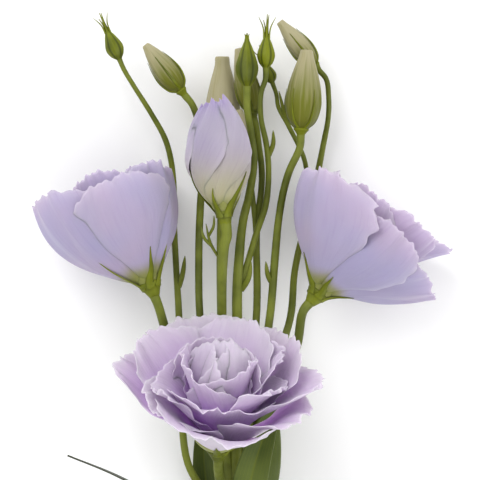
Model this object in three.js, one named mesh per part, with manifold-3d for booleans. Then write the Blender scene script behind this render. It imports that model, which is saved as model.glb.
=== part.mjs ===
// A cut spray of double lisianthus, lying on its side. Millimetres, +Z up.
// +Y runs up the stem towards the buds, and the flowers look up and away from the surface.
// Every stalk grows from one branched stem. Petals, sepals and leaves are thin closed shells.
import * as THREE from "three";
import Module from "manifold-3d";

const wasm = await Module();
wasm.setup();
const V3 = THREE.Vector3;
const DEGREE = Math.PI / 180;
const UP = new V3(0, 0, 1);

// Driving sizes
const PETAL_THICK = 0.7;
const LEAF_THICK = 0.8;
const SEPAL_THICK = 0.7;
const SEPAL_HALF = 1.5; // half width of a sepal of an open flower
const BUD_SEPAL_HALF = 1.3;
const PETAL_CELLS = [5, 5]; // quads across and along a broad petal
const NARROW_CELLS = [4, 4]; // the same for a petal narrower than this
const NARROW = 51;
const LEAF_CELLS = [4, 6];
const LEAF = { fold: 0.3, wave: 0.6 }; // rise of the halves from the midrib as a share, height of the waves
const GAP = 0.35; // clearance between neighbouring pieces
const SEPAL_LIFT = (PETAL_THICK + SEPAL_THICK) / 2 + GAP + 0.2; // from the middle of a petal to its sepal
const CUP_TOP = -GAP - 0.05; // rim of the green cup below an open flower
const SPRAY_CENTRE = [2.01, -57.57]; // middle of the spray's outline, where the origin is

const MATERIALS = {
  petal: { color: 0xc9bfe0, roughness: 0.6 },
  furled: { color: 0xc4bf96, roughness: 0.6 },
  sepal: { color: 0x7f9a3c, roughness: 0.55 },
  stem: { color: 0x5d7d2c, roughness: 0.55 },
  leaf: { color: 0x47662a, roughness: 0.6 },
};

const spray = new THREE.Group();

function vec(p) {
  return new V3(p[0], p[1], p[2]);
}

function mix(a, b, t) {
  return a + (b - a) * t;
}

function smooth(t) {
  const s = Math.min(1, Math.max(0, t));
  return s * s * (3 - 2 * s);
}

// Value at t of the curve that starts at the first number, ends at the last and is drawn to the middle one.
function bend(three, t) {
  const s = 1 - t;
  return s * s * three[0] + 2 * s * t * three[1] + t * t * three[2];
}

// A solid from shared points and triangles.
function solidOf(points, triangles) {
  const vertProperties = new Float32Array(points.flatMap((p) => [p.x, p.y, p.z]));
  const mesh = new wasm.Mesh({ numProp: 3, vertProperties, triVerts: new Uint32Array(triangles) });
  return new wasm.Manifold(mesh);
}

function union(solids) {
  return solids.reduce((all, one) => all.add(one));
}

// The largest body of a solid: scraps that a cut leaves loose are dropped.
function largest(solid) {
  return solid.decompose().reduce((best, one) => (one.volume() > best.volume() ? one : best));
}

function addNode(name, solid, kind) {
  const mesh = solid.getMesh();
  const step = mesh.numProp;
  const position = new Float32Array(mesh.numVert * 3);
  for (let i = 0; i < mesh.numVert; i++) {
    position.set(mesh.vertProperties.subarray(i * step, i * step + 3), i * 3);
  }
  const geometry = new THREE.BufferGeometry();
  geometry.setAttribute("position", new THREE.BufferAttribute(position, 3));
  geometry.setIndex(new THREE.BufferAttribute(new Uint32Array(mesh.triVerts), 1));
  const material = new THREE.MeshStandardMaterial({ ...MATERIALS[kind], metalness: 0 });
  const node = new THREE.Mesh(geometry, material);
  node.name = name;
  spray.add(node);
}

// Frame of a flower or bud: a runs up its axis, e1 points to the spray's right and e2 up towards the viewer.
function frameAt(base, axis) {
  const a = vec(axis).normalize();
  const e1 = a.clone().cross(UP).normalize();
  const e2 = e1.clone().cross(a);
  return { o: vec(base), a, e1, e2 };
}

// Point of a frame at an angle round the axis, a radius and a height.
function around(frame, degrees, radius, height) {
  const t = degrees * DEGREE;
  return frame.o
    .clone()
    .addScaledVector(frame.a, height)
    .addScaledVector(frame.e1, radius * Math.cos(t))
    .addScaledVector(frame.e2, radius * Math.sin(t));
}

// Width of a petal as a share of its widest, along its length: narrow claw, broad blade, eased tip.
function petalSpread(v, p) {
  if (v < p.blade) return p.root + (1 - p.root) * Math.sin(((v / p.blade) * Math.PI) / 2) ** 1.3;
  return 1 - p.taper * ((v - p.blade) / (1 - p.blade)) ** 2;
}

// Middle surface of a petal. u runs from -1 to 1 across it and v from 0 at the claw to 1 at the lip.
function petalSurface(frame, p) {
  const steps = 24;
  const radii = [p.start];
  const heights = [p.rise];
  for (let i = 0; i < steps; i++) {
    const lean = bend(p.flare, (i + 0.5) / steps) * DEGREE;
    radii.push(radii[i] + (Math.sin(lean) * p.len) / steps);
    heights.push(heights[i] + (Math.cos(lean) * p.len) / steps);
  }
  return (u, v) => {
    const along = v * (1 - p.round * Math.abs(u) ** 3 + p.slant * u);
    const i = Math.max(0, Math.min(steps - 1, Math.floor(along * steps)));
    const t = along * steps - i;
    const radius = mix(radii[i], radii[i + 1], t);
    const height = mix(heights[i], heights[i + 1], t);
    const lean = bend(p.flare, along) * DEGREE;
    const turn = (p.at + p.twist * along) * DEGREE;
    const half = 0.5 * p.wide * petalSpread(along, p);
    const cup = mix(p.cup[0], p.cup[1], along);
    const side = (half * Math.sin(u * cup)) / cup;
    const lift = (half * (1 - Math.cos(u * cup))) / cup;
    const edge = u * u * along * Math.sin(p.waves * Math.PI * along + p.phase + (u > 0 ? 1.9 : 0));
    const lip = 0.6 * along ** 4 * Math.sin(1.7 * p.waves * u + 2 * p.phase);
    const inward = lift + p.ruffle * (edge + lip) + p.roll * half * u * smooth(2.5 * along);
    const out = frame.e1.clone().multiplyScalar(Math.cos(turn)).addScaledVector(frame.e2, Math.sin(turn));
    const across = frame.e1.clone().multiplyScalar(-Math.sin(turn)).addScaledVector(frame.e2, Math.cos(turn));
    return frame.o
      .clone()
      .addScaledVector(frame.a, height + inward * Math.sin(lean))
      .addScaledVector(out, radius - inward * Math.cos(lean))
      .addScaledVector(across, side);
  };
}

// Closed shell on both sides of a surface. What would sink below the surface it lies on is laid flat there.
function shell(surface, cells, thick, floor = 0) {
  const [across, along] = cells;
  const step = 0.02;
  const points = [];
  for (const side of [1, -1]) {
    const lowest = side > 0 ? floor + thick * 0.9 : floor;
    for (let j = 0; j <= along; j++) {
      for (let i = 0; i <= across; i++) {
        const u = (2 * i) / across - 1;
        const v = j / along;
        const p = surface(u, v);
        const du = surface(Math.min(1, u + step), v).sub(surface(Math.max(-1, u - step), v));
        const dv = surface(u, Math.min(1, v + step)).sub(surface(u, Math.max(0, v - step)));
        p.addScaledVector(du.cross(dv).normalize(), (side * thick) / 2);
        p.z = Math.max(p.z, lowest);
        points.push(p);
      }
    }
  }
  const row = across + 1;
  const back = row * (along + 1);
  const triangles = [];
  for (let j = 0; j < along; j++) {
    for (let i = 0; i < across; i++) {
      const a = j * row + i;
      const b = a + 1;
      const c = a + row + 1;
      const d = a + row;
      triangles.push(a, b, c, a, c, d);
      triangles.push(back + a, back + c, back + b, back + a, back + d, back + c);
    }
  }
  const rim = [];
  for (let i = 0; i < across; i++) rim.push(i);
  for (let j = 0; j < along; j++) rim.push(j * row + across);
  for (let i = across; i > 0; i--) rim.push(along * row + i);
  for (let j = along; j > 0; j--) rim.push(j * row);
  rim.forEach((a, k) => {
    const b = rim[(k + 1) % rim.length];
    triangles.push(a, back + a, back + b, a, back + b, b);
  });
  return solidOf(points, triangles);
}

const PETAL = {
  start: 4, rise: 0.9, len: 46, wide: 34, flare: [50, 45, 45], cup: [1.1, 0.5], root: 0.13,
  roll: 0.2, twist: 0, ruffle: 1.2, waves: 3, phase: 0, round: 0.2, slant: 0, blade: 0.68,
  taper: 0.16, floor: 0,
};

// Tapered rod through hand-set points [x, y, z, radius], with closed ends.
function rod(points, sides, steps) {
  const curve = new THREE.CatmullRomCurve3(points.map(vec), false, "centripetal");
  const rings = [];
  for (let k = 0; k <= steps; k++) {
    const t = k / steps;
    const place = t * (points.length - 1);
    const i = Math.min(points.length - 2, Math.floor(place));
    const radius = mix(points[i][3], points[i + 1][3], smooth(place - i));
    const middle = curve.getPoint(t);
    const tangent = curve.getTangent(t);
    const wide = tangent.clone().cross(UP).normalize();
    const thin = wide.clone().cross(tangent);
    for (let s = 0; s < sides; s++) {
      const angle = (2 * Math.PI * (s + 0.5)) / sides;
      rings.push(
        middle
          .clone()
          .addScaledVector(wide, radius * Math.cos(angle))
          .addScaledVector(thin, radius * Math.sin(angle)),
      );
    }
  }
  return capped(rings, sides, steps, curve.getPoint(0), curve.getPoint(1));
}

// Closes a run of rings with a fan at each end.
function capped(rings, sides, steps, first, last) {
  const triangles = [];
  for (let k = 0; k < steps; k++) {
    for (let s = 0; s < sides; s++) {
      const a = k * sides + s;
      const b = k * sides + ((s + 1) % sides);
      triangles.push(a, b + sides, b, a, a + sides, b + sides);
    }
  }
  const start = rings.length;
  for (let s = 0; s < sides; s++) {
    const next = (s + 1) % sides;
    triangles.push(start, s, next);
    triangles.push(start + 1, steps * sides + next, steps * sides + s);
  }
  return outward(solidOf([...rings, first, last], triangles), [...rings, first, last], triangles);
}

// Turns a solid's faces round where they point inwards.
function outward(solid, points, triangles) {
  if (solid.volume() > 0) return solid;
  const turned = [];
  for (let i = 0; i < triangles.length; i += 3) turned.push(triangles[i], triangles[i + 2], triangles[i + 1]);
  return solidOf(points, turned);
}

// Round body on a frame's axis from rows of [height, radius], with lobes that wind round it.
function turnedBody(frame, rows, sides, lobes = 0, depth = 0, wind = 0) {
  const rings = [];
  rows.forEach(([height, radius], k) => {
    for (let s = 0; s < sides; s++) {
      const degrees = (360 * s) / sides;
      const fold = 1 + depth * Math.cos((lobes * degrees - (wind * k) / rows.length) * DEGREE);
      rings.push(around(frame, degrees, radius * fold, height));
    }
  });
  const steps = rows.length - 1;
  const first = around(frame, 0, 0, rows[0][0]);
  const last = around(frame, 0, 0, rows[steps][0]);
  return capped(rings, sides, steps, first, last);
}

// Narrow pointed blade through points, flat below and keeled on the side towards face, widest at its root.
function blade(points, face, halfWidth, thick, steps) {
  const curve = new THREE.CatmullRomCurve3(points, false, "centripetal");
  const rings = [];
  for (let k = 0; k <= steps; k++) {
    const t = k / steps;
    const tangent = curve.getTangent(t);
    const wide = tangent.clone().cross(face).normalize();
    const thin = wide.clone().cross(tangent);
    const half = Math.max(0.45 * thick, halfWidth * (1 - t ** 1.4));
    for (const [x, y] of [[half, -0.4 * thick], [0, 0.6 * thick], [-half, -0.4 * thick]]) {
      rings.push(curve.getPoint(t).addScaledVector(wide, x).addScaledVector(thin, y));
    }
  }
  return capped(rings, 3, steps, curve.getPoint(0), curve.getPoint(1));
}

// FLOWERS
// at is the petal's place round the axis in degrees: 0 right, 90 towards the viewer, 180 left, 270 behind.
const SECOND_ROW = { start: 3, rise: 1.5 };
const MID_WHORL = { start: 2.4, rise: 2, len: 42, wide: 30, flare: [22, 27, 50], cup: [1.1, 0.6] };
const INNER_WHORL = { start: 1.2, rise: 2.4, len: 38, wide: 27, cup: [1.6, 1.2] };
const HEART = { ...INNER_WHORL, ruffle: 0.6 };
const FRONT_BLOOM = {
  name: "front_bloom",
  base: [-8.1, -75.5, 44],
  axis: [0.0, 0.85, 0.53],
  cup: [[-5.5, 2.1], [-2.5, 3.8], [CUP_TOP, 5]],
  tube: [[0, 5], [5, 9]],
  petals: [
    { at: 92, len: 42, wide: 46, flare: [62, 8, 74], ruffle: 1.7, phase: 0.4 },
    { at: 40, len: 42, wide: 38, flare: [62, 26, 78], ruffle: 2, phase: 1.4 },
    { at: 318, len: 45, wide: 44, flare: [60, 24, 50], ruffle: 2.2, phase: 2.9 },
    { at: 250, len: 45, wide: 44, flare: [60, 22, 54], ruffle: 1.8, phase: 4.0 },
    { at: 197, len: 46, wide: 27, flare: [62, 36, 60], ruffle: 1.6, round: 0.3, taper: 0.45 },
    { ...SECOND_ROW, at: 136, len: 38, wide: 40, flare: [56, 14, 76], slant: 0.1, ruffle: 1.8, phase: 1.7 },
    { ...SECOND_ROW, at: 4, len: 46, wide: 34, flare: [42, 46, 66], ruffle: 1.5, phase: 2.2 },
    { ...SECOND_ROW, at: 216, len: 47, wide: 30, flare: [40, 36, 50], ruffle: 2, phase: 5.0 },
    { ...SECOND_ROW, at: 287, len: 44, wide: 36, flare: [36, 24, 42], ruffle: 1.6, phase: 0.7 },
    { ...MID_WHORL, at: 80, len: 39, wide: 42, flare: [30, 26, 58], slant: 0.14, ruffle: 2, phase: 0.9 },
    { ...MID_WHORL, at: 22, len: 39, wide: 34, flare: [34, 26, 56], slant: 0.12, ruffle: 2, phase: 3.3 },
    { ...MID_WHORL, at: 332, len: 41, twist: 14, slant: -0.12, ruffle: 2.2, phase: 2.6 },
    { ...MID_WHORL, at: 160, len: 40, wide: 34, flare: [26, 30, 58], slant: -0.12, ruffle: 2.2, phase: 5.6 },
    { ...INNER_WHORL, at: 132, len: 40, wide: 34, flare: [26, 14, 20], slant: 0.14, phase: 0.2 },
    { ...INNER_WHORL, at: 50, len: 39, wide: 32, flare: [24, 12, 16], slant: -0.14, phase: 1.9 },
    { ...HEART, at: 274, len: 40, wide: 44, flare: [22, 14, 8], cup: [1.5, 1.2], phase: 3.7 },
    { ...HEART, at: 98, len: 46, wide: 40, flare: [26, 4, -56], cup: [1.6, 1.5], phase: 2.1 },
  ],
  sepals: [[0, 0.34, 0], [1, 0.4, 0], [2, 0.4, 0], [3, 0.4, 0], [4, 0.4, 0]],
};

const CUPPED = { cup: [1.1, 0.95], ruffle: 0.9, root: 0.15 };
const INSIDE = { ...MID_WHORL, ...CUPPED, floor: 1.2 };
const SIDE_CUP = [[-5, 1.9], [-2.6, 3.3], [CUP_TOP, 4.4]];
const SIDE_TUBE = [[0, 4.4], [4, 5.8]];
const LEFT_BLOOM = {
  name: "left_bloom",
  base: [-33.7, -15.9, 29],
  axis: [-0.36, 0.92, -0.1],
  cup: SIDE_CUP,
  tube: SIDE_TUBE,
  petals: [
    { ...CUPPED, at: 86, len: 46, wide: 45, flare: [48, 42, 4], roll: -0.12, phase: 0.3 },
    { ...CUPPED, at: 28, len: 45, wide: 38, flare: [48, 20, 2], slant: 0.08, phase: 1.5 },
    { ...CUPPED, at: 156, len: 55, wide: 50, flare: [66, 42, -22], roll: -0.12, round: 0.12, phase: 2.5 },
    { ...CUPPED, at: 228, len: 48, wide: 42, flare: [56, 42, -10], phase: 3.5 },
    { ...CUPPED, at: 300, len: 45, wide: 40, flare: [48, 42, 4], phase: 4.5 },
    { ...INSIDE, at: 40, len: 43, wide: 36, flare: [34, 22, 8], phase: 0.9 },
    { ...INSIDE, at: 108, len: 46, wide: 37, flare: [38, 20, 4], phase: 1.9 },
    { ...INSIDE, at: 280, len: 46, wide: 38, flare: [36, 24, 4], phase: 3.9 },
  ],
  sepals: [[0, 0.3, -0.35], [1, 0.35, 0], [2, 0.4, -0.3], [3, 0.4, 0], [4, 0.4, 0]],
};

const RIGHT_BLOOM = {
  name: "right_bloom",
  base: [29.2, -19.2, 30],
  axis: [0.62, 0.78, -0.12],
  cup: SIDE_CUP,
  tube: SIDE_TUBE,
  petals: [
    { ...CUPPED, at: 137, len: 47, wide: 54, flare: [62, 42, 26], roll: 0, twist: 6, slant: -0.1 },
    { ...CUPPED, at: 74, len: 43, wide: 40, flare: [54, 52, 12], roll: 0.3, phase: 1.2 },
    { ...CUPPED, at: 14, len: 40, wide: 44, flare: [54, 60, 36], ruffle: 1.3, phase: 2.5 },
    { ...CUPPED, at: 302, len: 45, wide: 40, flare: [54, 54, 18], phase: 3.5 },
    { ...CUPPED, at: 226, len: 44, wide: 40, flare: [54, 50, 6], phase: 4.5 },
    { ...INSIDE, at: 338, len: 52, wide: 30, flare: [34, 32, 40], ruffle: 1.3, phase: 0.9 },
    { ...INSIDE, at: 50, len: 46, wide: 36, flare: [40, 32, 22], phase: 0.1 },
    { ...INSIDE, at: 112, len: 43, wide: 37, flare: [40, 28, 14], phase: 5.1 },
    { ...INSIDE, at: 190, len: 44, wide: 34, flare: [40, 32, 8], phase: 4.9 },
  ],
  sepals: [[0, 0.28, 0.2], [1, 0.2, 0.3], [2, 0.24, 0], [3, 0.4, 0], [4, 0.4, 0]],
};

const WOUND = {
  start: 2.8, wide: 34, flare: [48, -5, -40], cup: [1.15, 1.7],
  twist: -105, ruffle: 0.3, round: 0.3, blade: 0.5, taper: 0.72,
};
const OPENING_BLOOM = {
  name: "opening_bloom",
  base: [-5.9, 10.9, 37],
  axis: [-0.1, 0.99, 0.05],
  cup: [[-5, 2], [-2.6, 2.6], [CUP_TOP, 3.4]],
  tube: [[0, 3.4], [4, 4.9]],
  petals: [
    { ...WOUND, at: 132, len: 46 },
    { ...WOUND, at: 60, len: 44 },
    { ...WOUND, at: 204, len: 45 },
    { ...WOUND, at: 276, len: 43 },
    { ...WOUND, at: 348, len: 43 },
  ],
  sepals: [[0, 0.22, 0], [1, 0.34, 0], [2, 0.4, 0], [3, 0.3, 0], [4, 0.3, 0]],
};
const BLOOMS = [FRONT_BLOOM, LEFT_BLOOM, RIGHT_BLOOM, OPENING_BLOOM];

// Petals and the short tube that they share at the claw, as the real corolla is one piece.
function corolla(bloom, extra = 0) {
  const frame = frameAt(bloom.base, bloom.axis);
  const tube = turnedBody(frame, bloom.tube.map(([h, r]) => [h > 0 ? h : -extra, r + extra]), 8);
  const petals = bloom.petals.map((own) => {
    const p = { ...PETAL, ...own };
    const cells = p.cells ?? (p.wide < NARROW ? NARROW_CELLS : PETAL_CELLS);
    return shell(petalSurface(frame, p), cells, PETAL_THICK + 2 * extra, p.floor - extra);
  });
  return largest(union([tube, ...petals]));
}

// Green cup under an open flower with a long pointed sepal along the back of five petals.
function calyx(bloom) {
  const frame = frameAt(bloom.base, bloom.axis);
  const cup = turnedBody(frame, bloom.cup, 8);
  const sepals = bloom.sepals.map(([petal, reach, place]) => {
    const p = { ...PETAL, ...bloom.petals[petal] };
    const surface = petalSurface(frame, p);
    const out = around(frame, p.at, 1, 0).sub(frame.o);
    const [middle, top] = bloom.cup.slice(-2);
    const points = [
      around(frame, p.at, middle[1] - 0.4, middle[0]),
      around(frame, p.at, top[1] + 0.4, top[0]),
    ];
    for (let k = 2; k <= 5; k++) {
      const v = (reach * k) / 5;
      const along = surface(place, v + 0.02).sub(surface(place, v));
      const side = along.clone().cross(out).normalize();
      const away = side.cross(along).normalize();
      points.push(surface(place, v).addScaledVector(away, SEPAL_LIFT));
    }
    return blade(points, out, SEPAL_HALF, SEPAL_THICK, 4);
  });
  return largest(union([cup, ...sepals]).subtract(corolla(bloom, GAP)));
}

for (const bloom of BLOOMS) {
  bloom.heel = -bloom.cup[0][0];
  addNode(bloom.name + "_petals", corolla(bloom), "petal");
  addNode(bloom.name + "_calyx", calyx(bloom), "sepal");
}

// BUDS
// A furled bud shows its wound petals between five sepals; a green bud is still closed in its calyx.
const FURLED_BUDS = [
  { name: "bud_2", base: [-22.2, 56.2, 19], axis: [-0.62, 0.79, 0.03], len: 21.6, wide: 9.6, sepal: 0.85 },
  { name: "bud_3", base: [-6.7, 33.3, 9], axis: [0, 1, 0], len: 36, wide: 13.6, sepal: 0.5, tip: 0.36 },
  { name: "bud_4", base: [4.8, 48.1, 14], axis: [-0.225, 0.974, 0], len: 24.7, wide: 9, sepal: 0.7 },
  { name: "bud_8", base: [28.1, 65.9, 14], axis: [-0.63, 0.775, 0.05], len: 21, wide: 8.3, sepal: 0.85 },
  { name: "bud_9", base: [22.9, 41.6, 22], axis: [0.07, 0.997, 0], len: 29.5, wide: 13.4, sepal: 0.62 },
  { name: "bud_10", base: [3, 27.8, 18], axis: [-0.156, 0.988, 0], len: 21.4, wide: 7.8, sepal: 0.6 },
];
const GREEN_BUDS = [
  { name: "bud_1", base: [-45.1, 67.7, 23], axis: [-0.4, 0.92, 0.03], len: 12.1, wide: 6.6, teeth: 6.5 },
  { name: "bud_5", base: [2.6, 57.4, 25], axis: [0, 1, 0], len: 17.8, wide: 8.4, teeth: 2 },
  { name: "bud_6", base: [9.6, 64.4, 22], axis: [0.03, 1, 0], len: 12.6, wide: 6.6, teeth: 7.4 },
  { name: "bud_7", base: [12.2, 59.2, 13], axis: [-0.33, 0.94, 0], len: 8, wide: 5, teeth: 7 },
];
const FURLED_HEEL = 2.6; // how far the cup of a furled bud reaches below its petals
// Share of the length and of the half width, from the stalk to the tip.
const FURLED_PROFILE = [[0, 0.3], [0.1, 0.74], [0.3, 1], [0.5, 0.94], [0.72, 0.7], [0.9, 0.44], [1, 0.24]];
const GREEN_PROFILE = [[0, 0.34], [0.14, 0.76], [0.36, 1], [0.68, 0.68], [1, 0.14]];

function furledPetals(bud) {
  const frame = frameAt(bud.base, bud.axis);
  const blunt = bud.tip ?? 0;
  const rows = FURLED_PROFILE.map(([h, r]) => {
    const share = h > 0.5 ? Math.max(r, blunt) : r;
    return [h * bud.len, (share * bud.wide) / 2];
  });
  return turnedBody(frame, rows, 10, 5, 0.06, 120);
}

function furledCalyx(bud) {
  const frame = frameAt(bud.base, bud.axis);
  const half = bud.wide / 2;
  const cup = turnedBody(frame, [[-FURLED_HEEL, 1.0], [-GAP, 0.36 * half + 0.6]], 6);
  const off = SEPAL_THICK / 2 + GAP + 0.05;
  const first = bud.wide > 11 ? 0 : 0.1;
  const sepals = [];
  for (let k = 0; k < 5; k++) {
    const degrees = 90 + 72 * k;
    const points = [around(frame, degrees, 0.9, -1.2)];
    for (const [h, r] of FURLED_PROFILE) {
      if (h < first || h > bud.sepal) continue;
      points.push(around(frame, degrees, r * half * 1.04 + off, h * bud.len));
    }
    const out = around(frame, degrees, 1, 0).sub(frame.o);
    sepals.push(blade(points, out, BUD_SEPAL_HALF, SEPAL_THICK, points.length - 1));
  }
  return union([cup, ...sepals]);
}

function greenBud(bud) {
  const frame = frameAt(bud.base, bud.axis);
  const rows = GREEN_PROFILE.map(([h, r]) => [h * bud.len, (r * bud.wide) / 2]);
  const parts = [turnedBody(frame, rows, 10, 5, 0.09)];
  for (let k = 0; k < 5; k++) {
    const degrees = 90 + 72 * k;
    const spread = bud.teeth * (0.16 + 0.15 * ((k * 2) % 3));
    const root = around(frame, degrees, 0.17 * bud.wide, 0.8 * bud.len);
    const tip = around(frame, degrees, spread, bud.len + bud.teeth * (1 - 0.14 * (k % 3)));
    parts.push(blade([root, tip], around(frame, degrees, 1, 0).sub(frame.o), 0.3, 0.66, 1));
  }
  return union(parts);
}

for (const bud of FURLED_BUDS) {
  bud.heel = FURLED_HEEL;
  addNode(bud.name + "_petals", furledPetals(bud), "furled");
  addNode(bud.name + "_calyx", furledCalyx(bud), "sepal");
}
for (const bud of GREEN_BUDS) {
  bud.heel = 0;
  addNode(bud.name, greenBud(bud), "sepal");
}

// STEM
// Points are [x, y, z, radius]. The main stem's cut end lies on the surface.
const CUT_END = [2, -200, 2.587, 2.8];
const FORK = [-2, -104, 18, 2.3];
const LOW_FORK = [-1, -116, 14.5, 2.4];
const MAIN_STEM = [
  CUT_END, [3.5, -180, 4, 2.7], [2.5, -160, 6.5, 2.6], [0.5, -138, 9.5, 2.5], LOW_FORK, FORK,
];
const byName = Object.fromEntries([...BLOOMS, ...FURLED_BUDS, ...GREEN_BUDS].map((f) => [f.name, f]));

// Stalk from a fork through points to the heel of a flower or bud.
const STALKS = [
  { to: "front_bloom", steps: 6, sides: 7, path: [FORK, [-6.5, -94, 27, 1.8], [-8, -86, 35, 1.7]] },
  {
    to: "left_bloom", steps: 7, sides: 7,
    path: [
      LOW_FORK, [-4.4, -92, 18, 1.9], [-14.8, -66.6, 20, 1.8], [-22.2, -48.1, 22, 1.7],
      [-27.8, -33.3, 25, 1.7],
    ],
  },
  {
    to: "right_bloom", steps: 7, sides: 7,
    path: [
      LOW_FORK, [3.7, -82, 18, 1.9], [9.3, -62.9, 20, 1.8], [15.9, -50, 22, 1.7], [21.1, -39.6, 25, 1.7],
    ],
  },
  {
    to: "opening_bloom", steps: 7, sides: 7,
    path: [FORK, [-7, -60, 21, 2], [-6.7, -29.6, 25, 2.1], [-6.7, -14.8, 31, 2.1], [-5.9, -2, 36, 2]],
  },
  {
    to: "bud_1", steps: 11, sides: 5,
    path: [
      LOW_FORK, [-12, -97, 16, 1.5], [-19.6, -84, 15, 1.4], [-22.2, -59.2, 14, 1.3], [-22.9, -29.6, 16, 1.3],
      [-24, -11.1, 13.6, 1.2], [-25, 7.4, 11.2, 1.2], [-25.2, 24, 11.6, 1.1], [-27.8, 37, 14, 1.1],
      [-33.3, 47.4, 16, 1], [-39.6, 57.4, 20, 0.9],
    ],
  },
  {
    to: "bud_2", steps: 9, sides: 6,
    path: [
      FORK, [-9.6, -66.6, 19, 1.5], [-14.8, -31.5, 19, 1.4], [-15.5, -7, 17, 1.4], [-14.8, 14.8, 14, 1.4],
      [-13.7, 29.6, 13, 1.3], [-14.8, 40.7, 13, 1.3],
    ],
  },
  { to: "bud_3", steps: 5, sides: 5, path: [FORK, [-6, -60, 15, 1.5], [-7.5, -10, 10, 1.4]] },
  {
    to: "bud_5", steps: 11, sides: 6,
    path: [
      FORK, [-0.7, -51.8, 22, 2], [-1.1, -22.2, 24, 1.9], [-0.4, -7.4, 24.5, 1.8], [1.1, 7, 24.5, 1.6],
      [3.3, 16.3, 24.5, 1.5], [5.2, 29.6, 24.5, 1.4], [4.1, 40, 24.5, 1.3], [2.6, 49.6, 25, 1.3],
    ],
  },
  {
    to: "bud_4", steps: 9, sides: 5,
    path: [
      FORK, [2.6, -66.6, 17, 1.5], [6.3, -25.9, 17, 1.4], [6.3, 3.7, 16.5, 1.3], [8.1, 20.4, 16, 1.2],
      [8.1, 27.8, 15, 1.2], [7, 36, 14, 1.2],
    ],
  },
  { to: "bud_10", steps: 3, sides: 5, path: [[6.3, -2, 16.6, 1], [5.2, 12, 17.4, 1]] },
  {
    to: "bud_6", steps: 9, sides: 5,
    path: [
      [-0.7, -19, 24, 1.1], [2.6, -9.3, 22.5, 1.2], [6.3, 3, 21, 1.2], [9.6, 13, 20, 1.2],
      [10.7, 25, 20, 1.1], [10, 35.2, 20, 1.1], [7.8, 46, 21, 1], [7.9, 55, 22, 1],
    ],
  },
  {
    to: "bud_8", steps: 11, sides: 5,
    path: [
      FORK, [3, -78, 16, 1.6], [12, -50, 15, 1.5], [18.9, -29.6, 13, 1.4], [20.7, -11.8, 9, 1.3],
      [24.1, 3.7, 6.2, 1.2], [28, 18, 5.2, 1.2], [29.6, 26, 6.2, 1.2], [31.5, 36, 9, 1.1],
      [33.3, 46.3, 12, 1],
      [33.4, 54, 13, 1],
    ],
  },
  {
    to: "bud_7", steps: 6, sides: 5,
    path: [
      [23.8, 3, 6.3, 1], [25.2, 20, 6.6, 1], [24.4, 30, 10.5, 0.9], [18.5, 42.6, 13, 0.9],
      [14.5, 50, 13, 0.8],
    ],
  },
  {
    to: "bud_9", steps: 9, sides: 6,
    path: [
      FORK, [3.7, -66.6, 20, 1.7], [8.1, -48.1, 21, 1.6], [11.5, -25.9, 22, 1.5], [13, -7.4, 23, 1.5],
      [14.4, 7.4, 23, 1.4], [16.3, 18.5, 23, 1.4], [18.5, 25.9, 22.5, 1.4],
    ],
  },
];

// Small pointed bracts of the stem: root, middle, tip and half width.
const BRACTS = [
  [[-23, -18, 14.6], [-21.4, -12, 18], [-20.6, -6, 20.5], 1.2],
  [[0.4, -19, 24], [3.2, -14, 26.5], [4.2, -8, 27], 1.3],
  [[12.4, -17, 22.6], [10.4, -13, 25], [9.6, -8, 26], 1.2],
  [[10.6, 31, 20], [12.4, 36, 21.5], [12.4, 41, 22], 1.1],
  [[18.8, 42, 13], [16.4, 49, 14.5], [14.6, 56, 16], 0.9],
  [[-7, -8, 33], [-11, -1, 35], [-12.6, 6, 36], 0.6],
  [[-10.2, -2.5, 34.6], [-13.4, 1, 36], [-14.4, 5, 36.5], 0.7],
  [[-11.6, 1.5, 35.2], [-9.8, 5, 36.4], [-9.6, 9, 37.6], 0.6],
];

function stem() {
  const parts = [rod(MAIN_STEM, 8, 11)];
  for (const s of STALKS) {
    const flower = byName[s.to];
    const frame = frameAt(flower.base, flower.axis);
    const radius = s.path[s.path.length - 1][3];
    const close = frame.o.clone().addScaledVector(frame.a, -flower.heel - GAP - 4);
    const end = frame.o.clone().addScaledVector(frame.a, -flower.heel - GAP);
    parts.push(rod([...s.path, [...close, radius], [...end, radius * 1.1]], s.sides, s.steps));
  }
  for (const [root, middle, tip, half] of BRACTS) {
    parts.push(blade([root, middle, tip].map(vec), UP, half, SEPAL_THICK, 2));
  }
  return union(parts);
}
addNode("stem", stem(), "stem");

// LEAVES
// Ovate pointed leaves, one pair at each joint of the stem. spine runs from the root to the tip.
const LEAVES = [
  {
    name: "leaf_1", wide: 10, face: [0.1, 0, 1],
    spine: [[-2, -126, 8.6], [-7, -112, 8], [-13.2, -89, 7], [-13.6, -58, 8]],
  },
  {
    name: "leaf_2", wide: 14, face: [-0.2, -0.2, 1],
    spine: [[0.6, -126, 15.5], [2.2, -112, 24], [4.2, -89, 29], [14.6, -56, 30]],
  },
  {
    name: "leaf_3", wide: 12, face: [0.3, 0, 1],
    spine: [[1.5, -113, 12.1], [6.4, -100, 9.6], [9.6, -80, 8.5], [11, -52, 8]],
  },
  {
    name: "leaf_4", wide: 8, face: [0.5, 0.87, 0], fold: 0, wave: 0.1,
    spine: [[-5, -115, 15], [-20, -103, 18], [-45.5, -88.8, 18], [-64.8, -81, 16]],
  },
  {
    name: "leaf_5", wide: 26, face: [0.2, -0.2, 1],
    spine: [[-1.2, -167, 5.5], [-12, -161, 9], [-28, -145, 7], [-40, -117, 2]],
  },
  {
    name: "leaf_6", wide: 26, face: [-0.2, -0.2, 1],
    spine: [[6.6, -165, 5.5], [17, -159, 9], [32, -142, 7], [42, -113, 2]],
  },
];

// Half width of a leaf as a share of its widest, along its length.
function leafSpread(v) {
  return Math.max(0.08, 3.13 * (v + 0.02) ** 0.9 * (1 - v) ** 0.8);
}

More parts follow.
